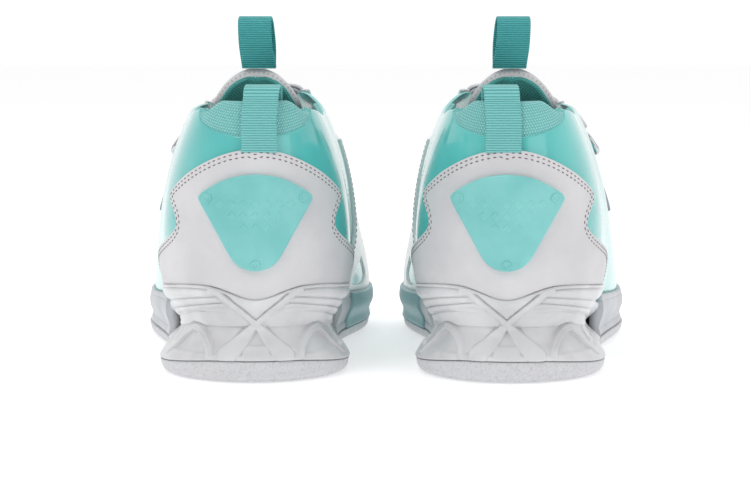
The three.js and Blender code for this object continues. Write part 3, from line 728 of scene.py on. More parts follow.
# 1 inside the convex polygon, with soft sides; corners are listed anticlockwise in (q, z)
def field(q, z, corners, soft=0.8):
    inside = np.full(np.shape(q), 1e3)
    for a, b in zip(corners, corners[1:] + corners[:1]):
        length = math.hypot(b[0] - a[0], b[1] - a[1])
        inside = np.minimum(inside, ((b[0] - a[0]) * (z - a[1]) - (b[1] - a[1]) * (q - a[0])) / length)
    return ease(inside, -soft / 2, soft / 2)


# the heel block's sculpted face, as a height over its waisted wall; q is the distance round from the middle
def heelRelief(q, z, rim):
    cut = {"pocket": -1.3, "plate": 0.8, "ribs": 1.4, "arm": 2.3,
           "leg": 2.1, "arch": 2.0, "band": 1.3, "plug": 1.2}
    q = np.abs(q)
    ledge = np.interp(q, [0, 5, 23, 28.5, 33, 38, 43, 49, 62, 75],
                      [23, 22.8, 22.4, 22.2, 23, 23.1, 21.6, 20.6, 19.2, 18.6])
    wingEnd = 66 + (36 - z) * 0.5
    wing = ease(z, ledge - 0.35, ledge + 0.35) * (1 - ease(q, wingEnd - 0.5, wingEnd + 0.8))

    # four ribs fan out from the crossed arms, each rounded between two lines
    lines = [rim, rim - 1.4, np.interp(q, [14.8, 31.7, 66, 72], [36.1, 34.1, 29.5, 28.5]),
             np.interp(q, [11.2, 18.8, 36.6, 72], [33.7, 32.7, 30.2, 25.0]),
             np.interp(q, [9.3, 20.9, 35.7, 74], [31.4, 30.0, 28.1, 21.6])]
    ribs = 0
    for high, low in zip(lines[:-1], lines[1:]):
        t = (z - low) / (high - low)
        ribs = ribs + np.where((t > 0) & (t <= 1), 1 - np.abs(2 * t - 1) ** 4, 0)
    ribs = np.where(z < lines[4], 0.55 * ease(lines[4] - z, 0.2, 1.2), ribs)
    beside = ease(q, mix(3.5, 14.5, ease(z, 24, 37)), mix(5.5, 17, ease(z, 24, 37)))
    plate = wing * (cut["plate"] + cut["ribs"] * ribs * beside)
    armPath = [(17.5, 38.4), (14.2, 37.4), (10.6, 34.0), (5.4, 28.8), (0, 23.9)]
    arm = ridge(q, z, armPath, 2.9)
    wedge = field(q, z, [(-30, 60), (-30, 48), (0, 26.4), (12.2, 38), (14, 60)], 0.5)
    lip = ease(z, rim - 1.5, rim - 1.1) * (q < 40)
    leg = ridge(q, z, [(0.6, 23.4), (5.6, 18.2), (10.8, 12.2)], 3.2, 8.8)
    archPath = [(50, 9.6), (45.8, 13), (42, 18.2), (37.2, 21.2),
                (31.5, 20.6), (25.6, 18.1), (20.6, 14.4), (18.2, 10.4)]
    arch = ridge(q, z, archPath, 2.9)
    bead = ridge(q, z, [(a, b - 0.6) for a, b in archPath], 0.9, soft=0.9)
    band = 1 - ease(z, 10.9, 12.0)
    plug = field(q, z, [(-6, 9), (5.5, 9), (5.3, 13.6), (4.3, 15.2), (-6, 15.2)], 0.9)
    postPlaces = np.array([57.0, 82.0, 96.0, 110.0])
    posts = np.exp(-(((q[..., None] - postPlaces) / 2.1) ** 2)).sum(-1) * ease(z, 11, 14)
    node = 1 - ease(np.hypot(q - 48.6, z - 10.6), 1.2, 2.0)
    height = np.maximum.reduce([np.full(q.shape, cut["pocket"]), plate, cut["arm"] * arm, 1.75 * wedge,
                                2.1 * lip, cut["leg"] * leg, cut["arch"] * arch + 0.35 * bead,
                                cut["band"] * band, cut["plug"] * plug,
                                mix(cut["pocket"], 1.0, posts), 2.2 * node])
    lineCut = groove(q, z, [(12.6, 38.4), (8.1, 33.8), (4.1, 29.5), (0, 25.7)])
    lineCut = np.maximum(lineCut, groove(q, z, [(5.4, 23.0), (14.4, 14.3), (16.1, 12.6)], 0.35))
    fade = 1 - ease(q, 112, 125)
    return (height - 0.55 * lineCut) * fade + 0.6 * (1 - fade)


def arcRound(points):
    steps = np.linalg.norm(np.diff(points[:, :2], axis=0), axis=1)
    travelled = np.concatenate([[0], np.cumsum(steps)])
    return travelled - np.interp(0.5, np.linspace(0, 1, len(travelled)), travelled)


def buildHeelBlock():
    wall = {"waist": -4.9, "waistAt": 0.5, "edge": 2.4, "lip": 1.7}
    end = math.acos((143 - shoe["blockEnd"]) / 137) / (2 * math.pi)
    u = end * np.linspace(-1, 1, 560)
    h = np.concatenate([[0], np.linspace(0.01, 0.985, 130), [1.0]])[:, None]
    base, rim = soleBase(u), rimHeight(u)
    z = mix(base, rim, h)
    q = np.broadcast_to(arcRound(besideFeather(u, 0, 0)), z.shape)
    onSkin = upperPoint(u[None, :], climbTo(u[None, :], z.clip(ringPoint(feather, u)[:, 2], None)))
    normal = unit(upperNormal(u, np.full(u.shape, 0.02)) * [1, 1, 0])
    bulge = ((onSkin - ringPoint(feather, u)) * normal).sum(-1)
    lower = mix(soleOut(u), wall["waist"], ease(h, -0.05, wall["waistAt"]) ** 0.9)
    upper = mix(wall["waist"], wall["edge"] - 1.2, ease(h, wall["waistAt"] - 0.05, 0.92)) + bulge
    fromWaist = ease(h, wall["waistAt"] - 0.06, wall["waistAt"] + 0.06)
    off = mix(lower, upper, fromWaist)
    relief = heelRelief(q, z, rim)
    edge = np.minimum(1, np.minimum(h, 1 - h) / 0.02)
    endEdge = np.minimum(1, (1 - np.abs(u / end)) / 0.008)[None, :]
    off = off + relief * 0.9 - 0.9 * (1 - np.sqrt(1 - (1 - edge) ** 2))
    off = off - 1.2 * (1 - np.sqrt(1 - (1 - endEdge) ** 2))
    outer = ringPoint(feather, u)[None, :, :] * [1, 1, 0] + normal[None] * off[..., None]
    outer[..., 2] = z
    floor = ringPoint(feather, u)[:, 2] - 0.8
    inner = skin(u[None, :], climbTo(u[None, :], z.clip(floor, None)), -0.3 + 0 * z)
    below = ease(floor - z, 0, 3)[..., None]
    inner = inner - normal[None] * below * 8
    inner[..., 2] = z
    return closedSheet(inner, outer, np.stack([q, z], -1))


def wallPoint(u, share, out):
    foot = besideFeather(u, soleOut(u), soleBase(u))
    rim = skin(u, climbTo(u, wallTop(u)), np.full(np.shape(u), shoe["layerGap"] + 1.0))
    outward = besideFeather(u, 1, 0) - besideFeather(u, 0, 0)
    wave = law([0, -1.2, 0.6, 0.8, 0])(share)
    return mix(foot, rim, share[..., None]) + outward * (wave + out)[..., None]


# the midsole's wall, with two fine pressed lines and a rolled rim
def buildMidsole():
    wall = {"line": 0.35, "roll": 0.05}
    start = math.acos((143 - shoe["blockEnd"] - 1.5) / 137) / (2 * math.pi)
    u = np.linspace(start, 1 - start, 460)[None, :]
    share = np.concatenate([[0, 0.012, 0.03], np.linspace(0.05, 0.95, 60), [0.97, 0.988, 1]])[:, None]
    u, share = np.broadcast_arrays(u, share)
    roll = np.minimum(1, np.minimum(share, 1 - share) / wall["roll"])
    lines = sum(np.exp(-(((share - place) / 0.018) ** 2)) for place in (0.2, 0.86))
    outer = wallPoint(u, share, -wall["line"] * lines - 0.9 * (1 - np.sqrt(1 - (1 - roll) ** 2)))
    outer = outer.copy()
    inner = besideFeather(u, -3.0 + 0 * share, outer[..., 2])
    seatZ = ringPoint(feather, u)[..., 2] - 0.8
    onSkin = skin(u, climbTo(u, outer[..., 2].clip(seatZ, None)), np.full(u.shape, -0.3))
    onSkin[..., 2] = outer[..., 2]
    inner = np.where((outer[..., 2] > seatZ)[..., None], onSkin, inner)
    return closedSheet(inner, outer, gridDistances(outer)[2])


def buildInnerWrap():
    wrap = {"gap": -0.2, "thickness": 1.5, "roll": 0.8}
    u = mix(0.745, 0.595, crowded(90, 110, wrap["roll"]))[None, :]
    share = mix(0, 0.96, crowded(30, 18, wrap["roll"]))[:, None]
    u, share = np.broadcast_arrays(u, share)
    flat = wallPoint(u, share, np.zeros(u.shape))
    fromSides, fromEnds, uv = gridDistances(flat)
    inside = np.clip(np.minimum(fromSides, fromEnds) / wrap["roll"], 0, 1)
    rise = 0.3 + 0.7 * np.sqrt(1 - (1 - inside) ** 2)
    inner = wallPoint(u, share, np.full(u.shape, wrap["gap"]))
    outer = wallPoint(u, share, wrap["gap"] + wrap["thickness"] * rise)
    return closedSheet(inner, outer, uv)


# the footbed: a crowned sheet over the floor of the shoe, with a dished heel
def buildFootbed():
    bed = {"inset": 7.5, "low": 3.8, "thickness": 4.5, "roll": 2.5}
    u = np.linspace(0, 1, 240, endpoint=False)
    edge = besideFeather(u, -bed["inset"], ringPoint(feather, u)[:, 2])
    centreY = np.clip(edge[:, 1], 45, 235)
    centreX = edge[:, 0] * 0.02 + 1.5 * ease(centreY, 100, 230)
    centre = np.stack([centreX, centreY, np.interp(centreY, *floorLine())], -1)
    rings = []
    profile = ((0.0, 0), (0.6, 0), (1, 0), (1, 0.6), (0.992, 0.85),
               (0.975, 1), (0.85, 1), (0.6, 0.95), (0.3, 0.9), (0.0, 0.9))
    for share, rise in profile:
        ring = mix(centre, edge, share)
        dish = 1.2 * share**2
        lift = bed["low"] + bed["thickness"] * rise + dish * (rise > 0.7) - 0.6 * (rise > 0.7)
        rings.append(ring + np.array([0, 0, lift]))
    return lofted(rings, None)


def floorLine():
    u = np.linspace(0, 0.5, 80)
    there = ringPoint(feather, u)
    return there[:, 1], there[:, 2]


# ---- the upper ----

vampSeam = 0.36
seamInU = 0.0004


def quarterTop(u):
    far = np.abs(u)
    # a round notch behind the heel: a quarter circle in u
    bowl = np.sqrt((1 - (far / 0.1) ** 2).clip(0, 1))
    return mix(0.97, 0.828, bowl) + 0.02 * ease(far, 0.08, 0.3)


def quarterPlace(side):
    def place(s, t):
        u = side * mix(seamInU, vampSeam - seamInU, s**1.15)
        # the panel's foot is hidden just under the sole's rim
        return u, mix(climbTo(u, rimHeight(u) - 5), quarterTop(u), t)
    return place


def buildVamp():
    def place(s, t):
        return mix(vampSeam + seamInU, 1 - vampSeam - seamInU, s), t

    # soft flex creases across the ball
    def creases(u, v, flat, inside):
        y = flat[..., 1]
        return 0.25 * inside * np.exp(-(((y - 205) / 16) ** 2)) * np.sin(y / 2.1 + 0.6 * np.sin(u * 40))
    return panel(place, 150, 90, -1.6, 0, 1.0, creases)


def toeCapPlace(s, t):
    u = mix(0.415, 0.585, s)
    return u, mix(climbTo(u, wallTop(0.45) + 4), mix(0.1, 0.44, np.sin(math.pi * np.clip(s, 0, 1)) ** 0.8), t)


# u of the cover's side edge at some heights: a flare at the foot, a waist, then a round shoulder
coverSideZ = np.array([36.0, 45, 51.4, 55, 59.3, 63.2, 66.6, 71.3, 75.1, 78.1, 82, 86.7])
coverSideU = np.array([0.166, 0.158, 0.140, 0.121, 0.104, 0.096, 0.097, 0.105, 0.113, 0.114, 0.105, 0.089])


# smooth values between uneven knots
def smoothThrough(knots, values, at):
    slope = np.gradient(values, knots)
    i = np.clip(np.searchsorted(knots, at) - 1, 0, len(knots) - 2)
    h = knots[i + 1] - knots[i]
    t = (np.clip(at, knots[0], knots[-1]) - knots[i]) / h
    a, b = values[i], values[i + 1]
    return ((2 * t**3 - 3 * t**2 + 1) * a + (t**3 - 2 * t**2 + t) * h * slope[i]
            + (3 * t**2 - 2 * t**3) * b + (t**3 - t**2) * h * slope[i + 1])


# rows bend from the rim line at the foot to an arch at the crown
def coverPlace(s, t):
    cover = {"crown": 98.0, "shoulder": 86.7, "overRim": 0.1, "notch": 0.9}
    c = 2 * s - 1
    footZ = rimHeight(0.16) + cover["overRim"]
    sideZ = mix(footZ, cover["shoulder"], t)
    u = c * smoothThrough(coverSideZ, coverSideU, sideZ)
    middle = mix(rimHeight(0.0) + cover["overRim"], cover["crown"], t)
    z = middle + (sideZ - middle) * c**2 - cover["notch"] * np.exp(-((c / 0.05) ** 2)) * ease(t, 0.8, 1)
    atFoot = mix(rimHeight(0.0) + cover["overRim"], footZ, c**2)
    z = z + (rimHeight(u) + cover["overRim"] - atFoot) * (1 - t) ** 2
    return u, climbTo(u, z)


# the cover's free edge: up one side, over the top and down the other
def coverEdgePath():
    rise, over = np.linspace(0.04, 1, 160), np.linspace(1, 0, 220)[1:-1]
    s = np.concatenate([np.ones(160), over, np.zeros(160)])
    t = np.concatenate([rise, np.ones(218), rise[::-1]])
    return coverPlace(s, t)


# ---- badge ----

def badgeOutline(count):
    half = [(0, 87.4), (5.5, 86.8), (11, 85.2), (17, 81.7), (20.3, 79.2), (21.3, 77.5), (20.8, 75.6),
            (18.2, 70.6), (14.3, 63.2), (10.8, 56.4), (8.4, 52.2), (5.0, 49.2), (0, 47.9)]
    return closedCurve(half + [(-x, z) for x, z in half[-2:0:-1]], count)


def buildBadge():
    badge = {"rise": 1.9, "bevel": 0.9, "low": 2.9, "cell": 4.2, "motifRise": 0.3}
    outline = badgeOutline(420)
    centre = outline.mean(0)
    share = np.concatenate([[0.02], np.linspace(0.05, 0.92, 110), np.linspace(0.93, 1, 16)])
    share = share[::-1, None, None]
    flat = mix(centre, outline[None], share)
    fromEdge = (1 - share[..., 0]) * np.linalg.norm(outline - centre, axis=1)[None]
    bevel = np.sqrt(1 - (1 - np.clip(fromEdge / badge["bevel"], 0, 1)) ** 2)
    x, z = flat[..., 0], flat[..., 1]
    motif = 0
    for row, (rowZ, count) in enumerate(((75.2, 7), (70.4, 5), (65.6, 3))):
        cell = (x + 0.5 * badge["cell"] * (count % 2)) % badge["cell"] - 0.5 * badge["cell"]
        lozenge = 1 - ease(np.abs(cell) + np.abs(z - rowZ) * 0.8, 1.2, 1.7)
        motif = motif + lozenge * (np.abs(x) < count * badge["cell"] / 2)
    height = badge["low"] + badge["rise"] * (0.25 + 0.75 * bevel) + badge["motifRise"] * motif
    u, v = heelAt(x, z)
    top = skin(u, v, height)
    back = skin(*heelAt(outline[:, 0], outline[:, 1]), np.full(len(outline), badge["low"]))
    rings = np.concatenate([back[None], top])
    uv = np.concatenate([outline[None], flat])
    return lofted(rings, uv)


# three small moulded buttons near the badge's corners
def buildBadgeDots():
    section = ((1.75, 4.6), (1.75, 5.15), (1.55, 5.4), (1.3, 5.45),
               (1.1, 5.3), (0.95, 5.12), (0.5, 5.08), (0.05, 5.08))
    dots = []
    for x, z in ((-17.4, 77.4), (17.4, 77.4), (0.0, 50.8)):
        turn = np.linspace(0, 2 * math.pi, 28, endpoint=False)
        rings = []
        for radius, out in section:
            u, v = heelAt(x + radius * np.cos(turn), z + radius * np.sin(turn))
            rings.append(skin(u, v, np.full(turn.shape, out)))
        dots.append(lofted(rings))
    return joined(*dots)


# ---- collar ----

def liningTop(u):
    return mix(quarterTop(u) - 0.02, 0.78, ease(np.abs(u), 0.25, 0.29))


# the collar's section: flat where it meets the quarter's edge, a full roll on top, soft inside
def buildCollar():
    pad = {"end": 0.262, "thickness": 9.0, "front": 5.0, "inner": -6.0}
    u = np.linspace(-pad["end"], pad["end"], 420)
    ledge = quarterTop(u) - 0.012
    top = mix(1.0, quarterTop(u) - 0.004, ease(np.abs(u), 0.055, 0.12))
    roll = mix(0.026, 0.008, ease(np.abs(u), 0.06, 0.12))
    depth = -mix(pad["thickness"], pad["front"], ease(np.abs(u), 0.1, 0.25))
    around = np.linspace(0, 1, 44, endpoint=False)
    corners = np.array([0.0, 0.1, 0.22, 0.34, 0.45, 0.6, 0.78, 0.9, 1.0])
    rings = []
    for tu, lu, du, ru in zip(top, ledge, depth, roll):
        out = [-0.9, -0.1, -0.3, -2.8, du * 0.72, du - 1.2, du - 1.0, pad["inner"] + 0.3, -0.9]
        v = [lu - 0.01, mix(lu, tu, 0.35), tu, tu + ru, tu + ru / 2, tu - 0.075, 0.73, 0.665, lu - 0.01]
        rings.append((np.interp(around, corners, out), np.interp(around, corners, v)))
    out = np.array([r[0] for r in rings])
    v = np.array([r[1] for r in rings])
    for _ in range(3):
        out = (np.roll(out, 1, 1) + 2 * out + np.roll(out, -1, 1)) / 4
        v = (np.roll(v, 1, 1) + 2 * v + np.roll(v, -1, 1)) / 4
    points = skin(np.broadcast_to(u[:, None], v.shape), v, out)
    across = np.broadcast_to(arcRound(points[:, 0])[:, None], v.shape)
    round_ = lengthsAlong(points, 1)
    return lofted(points, np.stack([across, round_], -1))


# ---- tongue ----

tongueLine = openCurve([(200, 74), (184, 82.5), (158, 98), (140, 107.8),
                        (128, 115), (119, 122.5), (114, 128.6)], 200)


# the tongue's half width narrows to a round end over its last fifth
def tongueRounding(along):
    return np.where(along > 0.8, np.sqrt(np.maximum(0.04, 1 - ((along - 0.8) / 0.2) ** 2 * 0.96)), 1)


def tonguePoint(across, along, depth):
    along = np.asarray(along, float)
    share = np.linspace(0, 1, len(tongueLine))
    tangents = unit(np.gradient(tongueLine, axis=0))
    centre = np.stack([np.interp(along, share, tongueLine[:, k]) for k in range(2)], -1)
    forward = unit(np.stack([np.interp(along, share, tangents[:, k]) for k in range(2)], -1))
    half = 19.5 * mix(0.75, 1, ease(along, 0, 0.4)) * tongueRounding(along)
    x = across * half
    drop = 5.5 * (x / 19.5) ** 2
    out = np.stack([forward[..., 1], -forward[..., 0]], -1)
    yz = centre + out * (-drop - depth)[..., None]
    return np.concatenate([np.broadcast_to(x, yz.shape[:-1])[..., None], yz], -1)


def tonguePiece(start, end, low, high, columns, rows, swell=0.0):
    across = mix(-1, 1, crowded(columns, 39, 1.0))[None, :]
    along = mix(start, end, crowded(rows, 95 * (end - start), 1.0))[:, None]
    across, along = np.broadcast_arrays(across, along)
    flat = tonguePoint(across, along, np.zeros(along.shape))
    fromSides, fromEnds, uv = gridDistances(flat)
    inside = np.minimum(1, np.minimum(fromSides, fromEnds) / 2.5)
    puff = np.sqrt(1 - (1 - inside) ** 2)
    middle = (low + high) / 2
    top = tonguePoint(across, along, middle - (middle - low) * (0.3 + 0.7 * puff))
    under = tonguePoint(across, along, middle + (high - middle) * (0.3 + 0.7 * puff) + swell * puff)
    return closedSheet(under, top, uv)


# a folded tape over the tongue's free edge, and the whip stitches that hold it
def tongueRim():
    turn = np.linspace(-1, 1, 240)
    along = 0.8 + 0.2 * np.sqrt((1 - turn**2).clip(0, 1))
    straight = np.linspace(0.55, 0.8, 60)[:-1]
    along = np.concatenate([straight, along, straight[::-1]])
    across = np.concatenate([np.full(59, -1.0), turn, np.full(59, 1.0)])
    return along, np.where(along > 0.8, across / tongueRounding(along), across).clip(-1, 1)


def buildTongueBinding():
    binding = {"reach": 1.2, "half": 2.2, "middle": 2.6}
    along, across = tongueRim()
    path = resample(tonguePoint(across, along, np.full(along.shape, binding["middle"])), 260)
    forward = unit(np.gradient(path, axis=0))
    toCentre = tonguePoint(np.zeros(260), np.linspace(0.6, 0.62, 260), binding["middle"]) - path
    outward = -unit(toCentre - forward * (toCentre * forward).sum(-1, keepdims=True))
    thick = unit(np.cross(forward, outward))
    turn = np.linspace(0, 2 * math.pi, 18, endpoint=False)[None, :, None]
    ring = outward[:, None] * np.cos(turn) * binding["reach"]
    ring = ring + thick[:, None] * np.sin(turn) * binding["half"]
    whip = stitches(path + outward * (binding["reach"] - 0.15), outward, 2.2, 0.8, 1.6, 0.3)
    return lofted(path[:, None] + ring), whip


# ---- tapes ----

# a flat tape along a path in the plane x = 0, with rounded edges
def uprightTape(path, width, thickness, count=220, waist=0.0):
    path = openCurve(path, count)
    forward = unit(np.gradient(path, axis=0))
    out = np.stack([-forward[:, 1], forward[:, 0]], -1)
    across = mix(-0.5, 0.5, crowded(14, width, 0.7))
    rounding = np.sqrt(1 - (1 - np.minimum(1, np.minimum(across + 0.5, 0.5 - across) * width / 0.7)) ** 2)
    half = thickness / 2 * (0.35 + 0.65 * rounding)
    middle = thickness / 2

    def sheet(offset):
        yz = path[:, None, :] + out[:, None, :] * offset[None, :, None]
        x = np.broadcast_to(across * width, yz.shape[:2])
        return np.concatenate([x[..., None], yz], -1)

    travelled = np.linspace(0, 1, count)[:, None] * np.linalg.norm(np.diff(path, axis=0), axis=1).sum()
    uv = np.stack(np.broadcast_arrays(across[None, :] * width, travelled), -1)
    return closedSheet(sheet(middle - half), sheet(middle + half), uv)


# moves a tape sideways as it climbs, and turns it round its own upright
def leaned(form, footZ, topZ, shift, turn, pivotY):
    points = form["points"].copy()
    share = ((points[:, 2] - footZ) / (topZ - footZ)).clip(0, 1)
    angle = math.radians(turn) * ease(share, 0.0, 0.6)
    x, y = points[:, 0].copy(), points[:, 1] - pivotY
    points[:, 0] = x * np.cos(angle) + y * np.sin(angle) + mix(shift[0], shift[1], share)
    points[:, 1] = y * np.cos(angle) - x * np.sin(angle) + pivotY
    return {**form, "points": points}


def buildHeelLoop():
    loop = {"width": 15.0, "thickness": 1.4, "rise": 7.6, "footZ": 96.5}
    foot = float(climbTo(np.array(0.0), loop["footZ"]))
    behind = skin(np.zeros(5), np.linspace(foot, 1.0, 5), np.array([0.9, 0.9, 1.2, 1.4, 1.2]))[:, 1:]
    top = skin(0.0, 1.0, -5.0)[2] + loop["rise"]
    last = behind[-1]
    bend = ((0.3, 0.6), (1.5, 0.9), (5, 1.04), (9, 0.95), (11.3, 0.55))
    rise = [(last[0] + y, mix(last[1], top, share)) for y, share in bend]
    back = skin(0.0, 1.0, -11.0)[1]
    inside = [(back + 3.2, 112), (back + 4.4, 104)]
    tape = uprightTape([tuple(p) for p in behind] + rise + inside, loop["width"], loop["thickness"])
    return leaned(tape, loop["footZ"], top, (1.6, 3.2), 7, last[0] + 4)


def buildTongueLoop():
    loop = {"width": 15.5, "thickness": -1.3, "rise": 25}
    foot = tonguePoint(np.array(0.0), np.array(1.0), np.array(3.0))
    half = [(-2.6, 1.2), (-4.2, 6), (-4.6, 14), (-3.2, 22)]
    bend = half + [(0, loop["rise"])] + [(-y, z) for y, z in half[::-1]]
    path = [(foot[1] + y, foot[2] + z + 1.5) for y, z in bend]
    tape = uprightTape(path, loop["width"], loop["thickness"])
    return leaned(tape, foot[2], foot[2] + loop["rise"], (1.4, -0.4), 13, foot[1])


# ---- strap ----

overlayFrom = -0.3
overlayTo = 1.6
bandFrom = overlayTo + 0.6
bandTo = bandFrom + 1.7
tailFrom = bandTo + 0.6
tailTo = tailFrom + 1.7
strapWidth = 28
ringRun = 1.6
ringWire = 1.5
ringOut = bandTo + 0.3 + ringWire


def strapEdge(side, across, v, out):
    middle = 0.365 - 0.16 * (1 - v)
    speed = np.linalg.norm(upperPoint(middle + 1e-3, v) - upperPoint(middle - 1e-3, v), axis=-1) / 2e-3
    return skin(side * (middle + across * strapWidth / 2 / speed), v, out)


# run goes from -2, low on the inner side, over the throat between -1 and 1, to 2, low on the outer side
def strapPoint(across, run, out):
    across, run, out = np.broadcast_arrays(across, run, out)
    side = np.where(run < 0, -1, 1)
    low = np.abs(run)
    onSide = strapEdge(side, across, mix(1, 0.6, (low - 1).clip(0, 1)), out)
    one = np.ones(run.shape)

    def foot(which):
        return strapEdge(which * one, across, one, out)

    def arch(which):
        return foot(which) + 7 * unit(foot(which) - strapEdge(which * one, across, 0.97 * one, out))

    t = ((run + 1) / 2).clip(0, 1)[..., None]
    over = (1 - t) ** 3 * foot(-1) + 3 * t * (1 - t) ** 2 * arch(-1)
    over = over + 3 * t * t * (1 - t) * arch(1) + t**3 * foot(1)
    return np.where((low >= 1)[..., None], onSide, over)


def tailRise(run):
    return (ringOut + ringWire + 0.9 - tailFrom) * ease(run, ringRun - 0.5, ringRun - 0.2)


def strapPiece(start, end, low, high, roll, rise=None):
    run = mix(start, end, crowded(150, 110, roll))[:, None]
    across = mix(-1, 1, crowded(40, strapWidth, roll))[None, :]
    across, run = np.broadcast_arrays(across, run)
    extra = rise(run) if rise else 0 * run
    flat = strapPoint(across, run, low + extra)
    fromSides, fromEnds, uv = gridDistances(flat)
    inside = np.clip(np.minimum(fromSides, fromEnds) / roll, 0, 1)
    height = mix(low, high, 0.35 + 0.65 * np.sqrt(1 - (1 - inside) ** 2))
    return closedSheet(flat, strapPoint(across, run, height + extra), uv)


def buildStrapRing():
    ring = {"corner": 3.0, "opening": 7, "play": 1.8, "turns": 16}
    centre = strapPoint(0.0, ringRun, ringOut)
    along = unit(strapPoint(1.0, ringRun, ringOut) - strapPoint(-1.0, ringRun, ringOut))
    down = strapPoint(0.0, ringRun + 0.2, ringOut) - centre
    down = unit(down - along * (down @ along))
    half = strapWidth / 2 + ringWire + ring["play"]
    tall = ring["opening"] + 2 * ringWire
    path = []
    for x, y, start in ((half, tall, 0), (-half, tall, 90), (-half, 0, 180), (half, 0, 270)):
        angle = np.radians(start + np.linspace(0, 90, 9))
        cornerX = x - math.copysign(ring["corner"], x)
        cornerY = y + (-ring["corner"] if y else ring["corner"])
        arc = [cornerX + ring["corner"] * np.cos(angle), cornerY + ring["corner"] * np.sin(angle)]
        path.append(np.stack(arc, -1))
    path = resample(np.concatenate(path + [path[0][:1]]), 121)[:-1]
    forward = unit(np.roll(path, -1, 0) - np.roll(path, 1, 0))
    outward = np.cross(down, along)
    turn = np.arange(ring["turns"]) * 2 * math.pi / ring["turns"]
    base = centre + path[:, :1] * along + path[:, 1:] * down
    radial = forward[:, 1:] * along - forward[:, :1] * down
    cosines, sines = np.cos(turn)[None, :, None], np.sin(turn)[None, :, None]
    return closedTube(base[:, None] + ringWire * (cosines * radial[:, None] + sines * outward))


def buildRingTab():
    v = mix(0.45, 0.71, crowded(40, 30, 0.7))[:, None]
    across = mix(-0.8, 0.8, crowded(20, 22, 0.7))[None, :]
    across, v = np.broadcast_arrays(across, v)
    t = (v - 0.45) / 0.26
    low = strapEdge(np.ones(v.shape), across, v, np.full(v.shape, overlayFrom))
    fromSides, fromEnds, uv = gridDistances(low)
    rounding = 0.4 + 0.6 * np.sqrt(1 - (1 - np.clip(np.minimum(fromSides, fromEnds) / 0.7, 0, 1)) ** 2)
    high = mix(overlayTo, ringOut - ringWire - 0.4, t)
    top = strapEdge(np.ones(v.shape), across, v, overlayFrom + (high - overlayFrom) * rounding)
    return closedSheet(low, top, uv)


# ---- build everything ----

addPair("outsoleForm", buildOutsole(), rubber, nodes=["outsole"], sharp=50)
addPair("heelBlockForm", buildHeelBlock(), heelPlastic, nodes=["heel_block"])
addPair("midsoleForm", buildMidsole(), midsoleFoam, nodes=["midsole"])
addPair("innerWrapForm", buildInnerWrap(), wrapRubber, nodes=["inner_wrap"])
addPair("footbedForm", buildFootbed(), footbedCloth, nodes=["footbed"])
print("soles made")

for side, word in ((1, "Outer"), (-1, "Inner")):
    form = panel(quarterPlace(side), 190, 110, -1.6, 0, 1.0)
    addPair(f"quarter{word}Panel", form, patent, nodes=[f"quarter_{word.lower()}"])
addPair("vampPanel", buildVamp(), patent, nodes=["vamp"])
addPair("toeCapPanel", panel(toeCapPlace, 110, 40, overlayFrom, overlayTo), leather,
        nodes=["toe_cap"])
coverTo = 2.1
addPair("heelCover", panel(coverPlace, 190, 110, overlayFrom, coverTo), leather,
        nodes=["counter_cover"])
for inset, row in ((1.5, "Outer"), (3.3, "Inner")):
    form = seam(*coverEdgePath(), coverTo - 0.02, inset, -1)
    addPair(f"heelCoverStitches{row}", form, paintedShadeThread)
addPair("heelBadge", buildBadge(), badgePlastic, nodes=["heel_badge"])
addPair("badgeButtons", buildBadgeDots(), badgePlastic)
print("heel made")


def liningPlace(s, t):
    u = mix(-0.34, 0.34, s)
    return u, mix(0.1, liningTop(u), t)


def vampLiningPlace(s, t):
    return mix(0.345, 0.655, s), mix(0.1, 0.78, t)


addPair("quarterLiningCloth", panel(liningPlace, 220, 60, -5.4, -4.0, 0.8), tongueKnit,
        nodes=["quarter_lining"])
addPair("vampLiningCloth", panel(vampLiningPlace, 120, 50, -5.4, -4.0, 0.8), tongueKnit,
        nodes=["vamp_lining"])
addPair("collarPadding", buildCollar(), collarKnit, nodes=["collar_pad"])


def eyestayPlace(side):
    def place(s, t):
        u = mix(0.296, 0.478, s)
        return side * u, mix(0.84 - 0.05 * ease(1 - s, 0.6, 1), 0.995, t)
    return place


for side, word in ((1, "Outer"), (-1, "Inner")):
    place = eyestayPlace(side)
    node = f"eyestay_{word.lower()}"
    form = panel(place, 110, 30, overlayFrom, overlayTo)
    addPair(f"eyestay{word}", form, leather, nodes=[node])
    along = np.linspace(0.03, 0.97, 200)
    for t, row in ((0.0, "Low"), (1.0, "High")):
        inward = side * (1 if t else -1)
        form = seam(*place(along, np.full(200, t)), overlayTo - 0.02, 1.6, inward)
        addPair(f"eyestay{word}Stitches{row}", form, paintedShadeThread)


# the side overlay's back and front edges lean together towards the strap
def saddlePlace(s, t):
    u = mix(0.218 + 0.030 * ease(t, 0, 0.5) - 0.004 * t, 0.372 - 0.05 * t, s)
    return -u, mix(climbTo(-u, wallTop(u) - 0.5), 0.80, t)


# the teardrop window, in the overlay's own s and t
window = {"s": 0.34, "t": 0.14, "tall": 0.1, "wide": 0.2, "deep": 1.3}


# half the teardrop's width at an angle measured from its point
def teardropHalf(angle):
    return window["wide"] * np.sin(angle) * np.sin(angle / 2) ** 1.4


def saddleRelief(u, v, flat, inside):
    s, t = np.broadcast_arrays(crowded(150, 90, 0.9)[None, :], crowded(120, 60, 0.9)[:, None])
    angle = np.arccos(((t - window["t"]) / window["tall"]).clip(-1, 1))
    within = (teardropHalf(angle) - np.abs(s - window["s"])) * 80
    return -window["deep"] * ease(within, 0, 0.9)


def windowPlace(s, t):
    angle = mix(math.pi - 0.12, 0.5, t)
    across = window["s"] + (2 * s - 1) * 1.02 * teardropHalf(angle)
    return saddlePlace(across, window["t"] + window["tall"] * np.cos(angle))


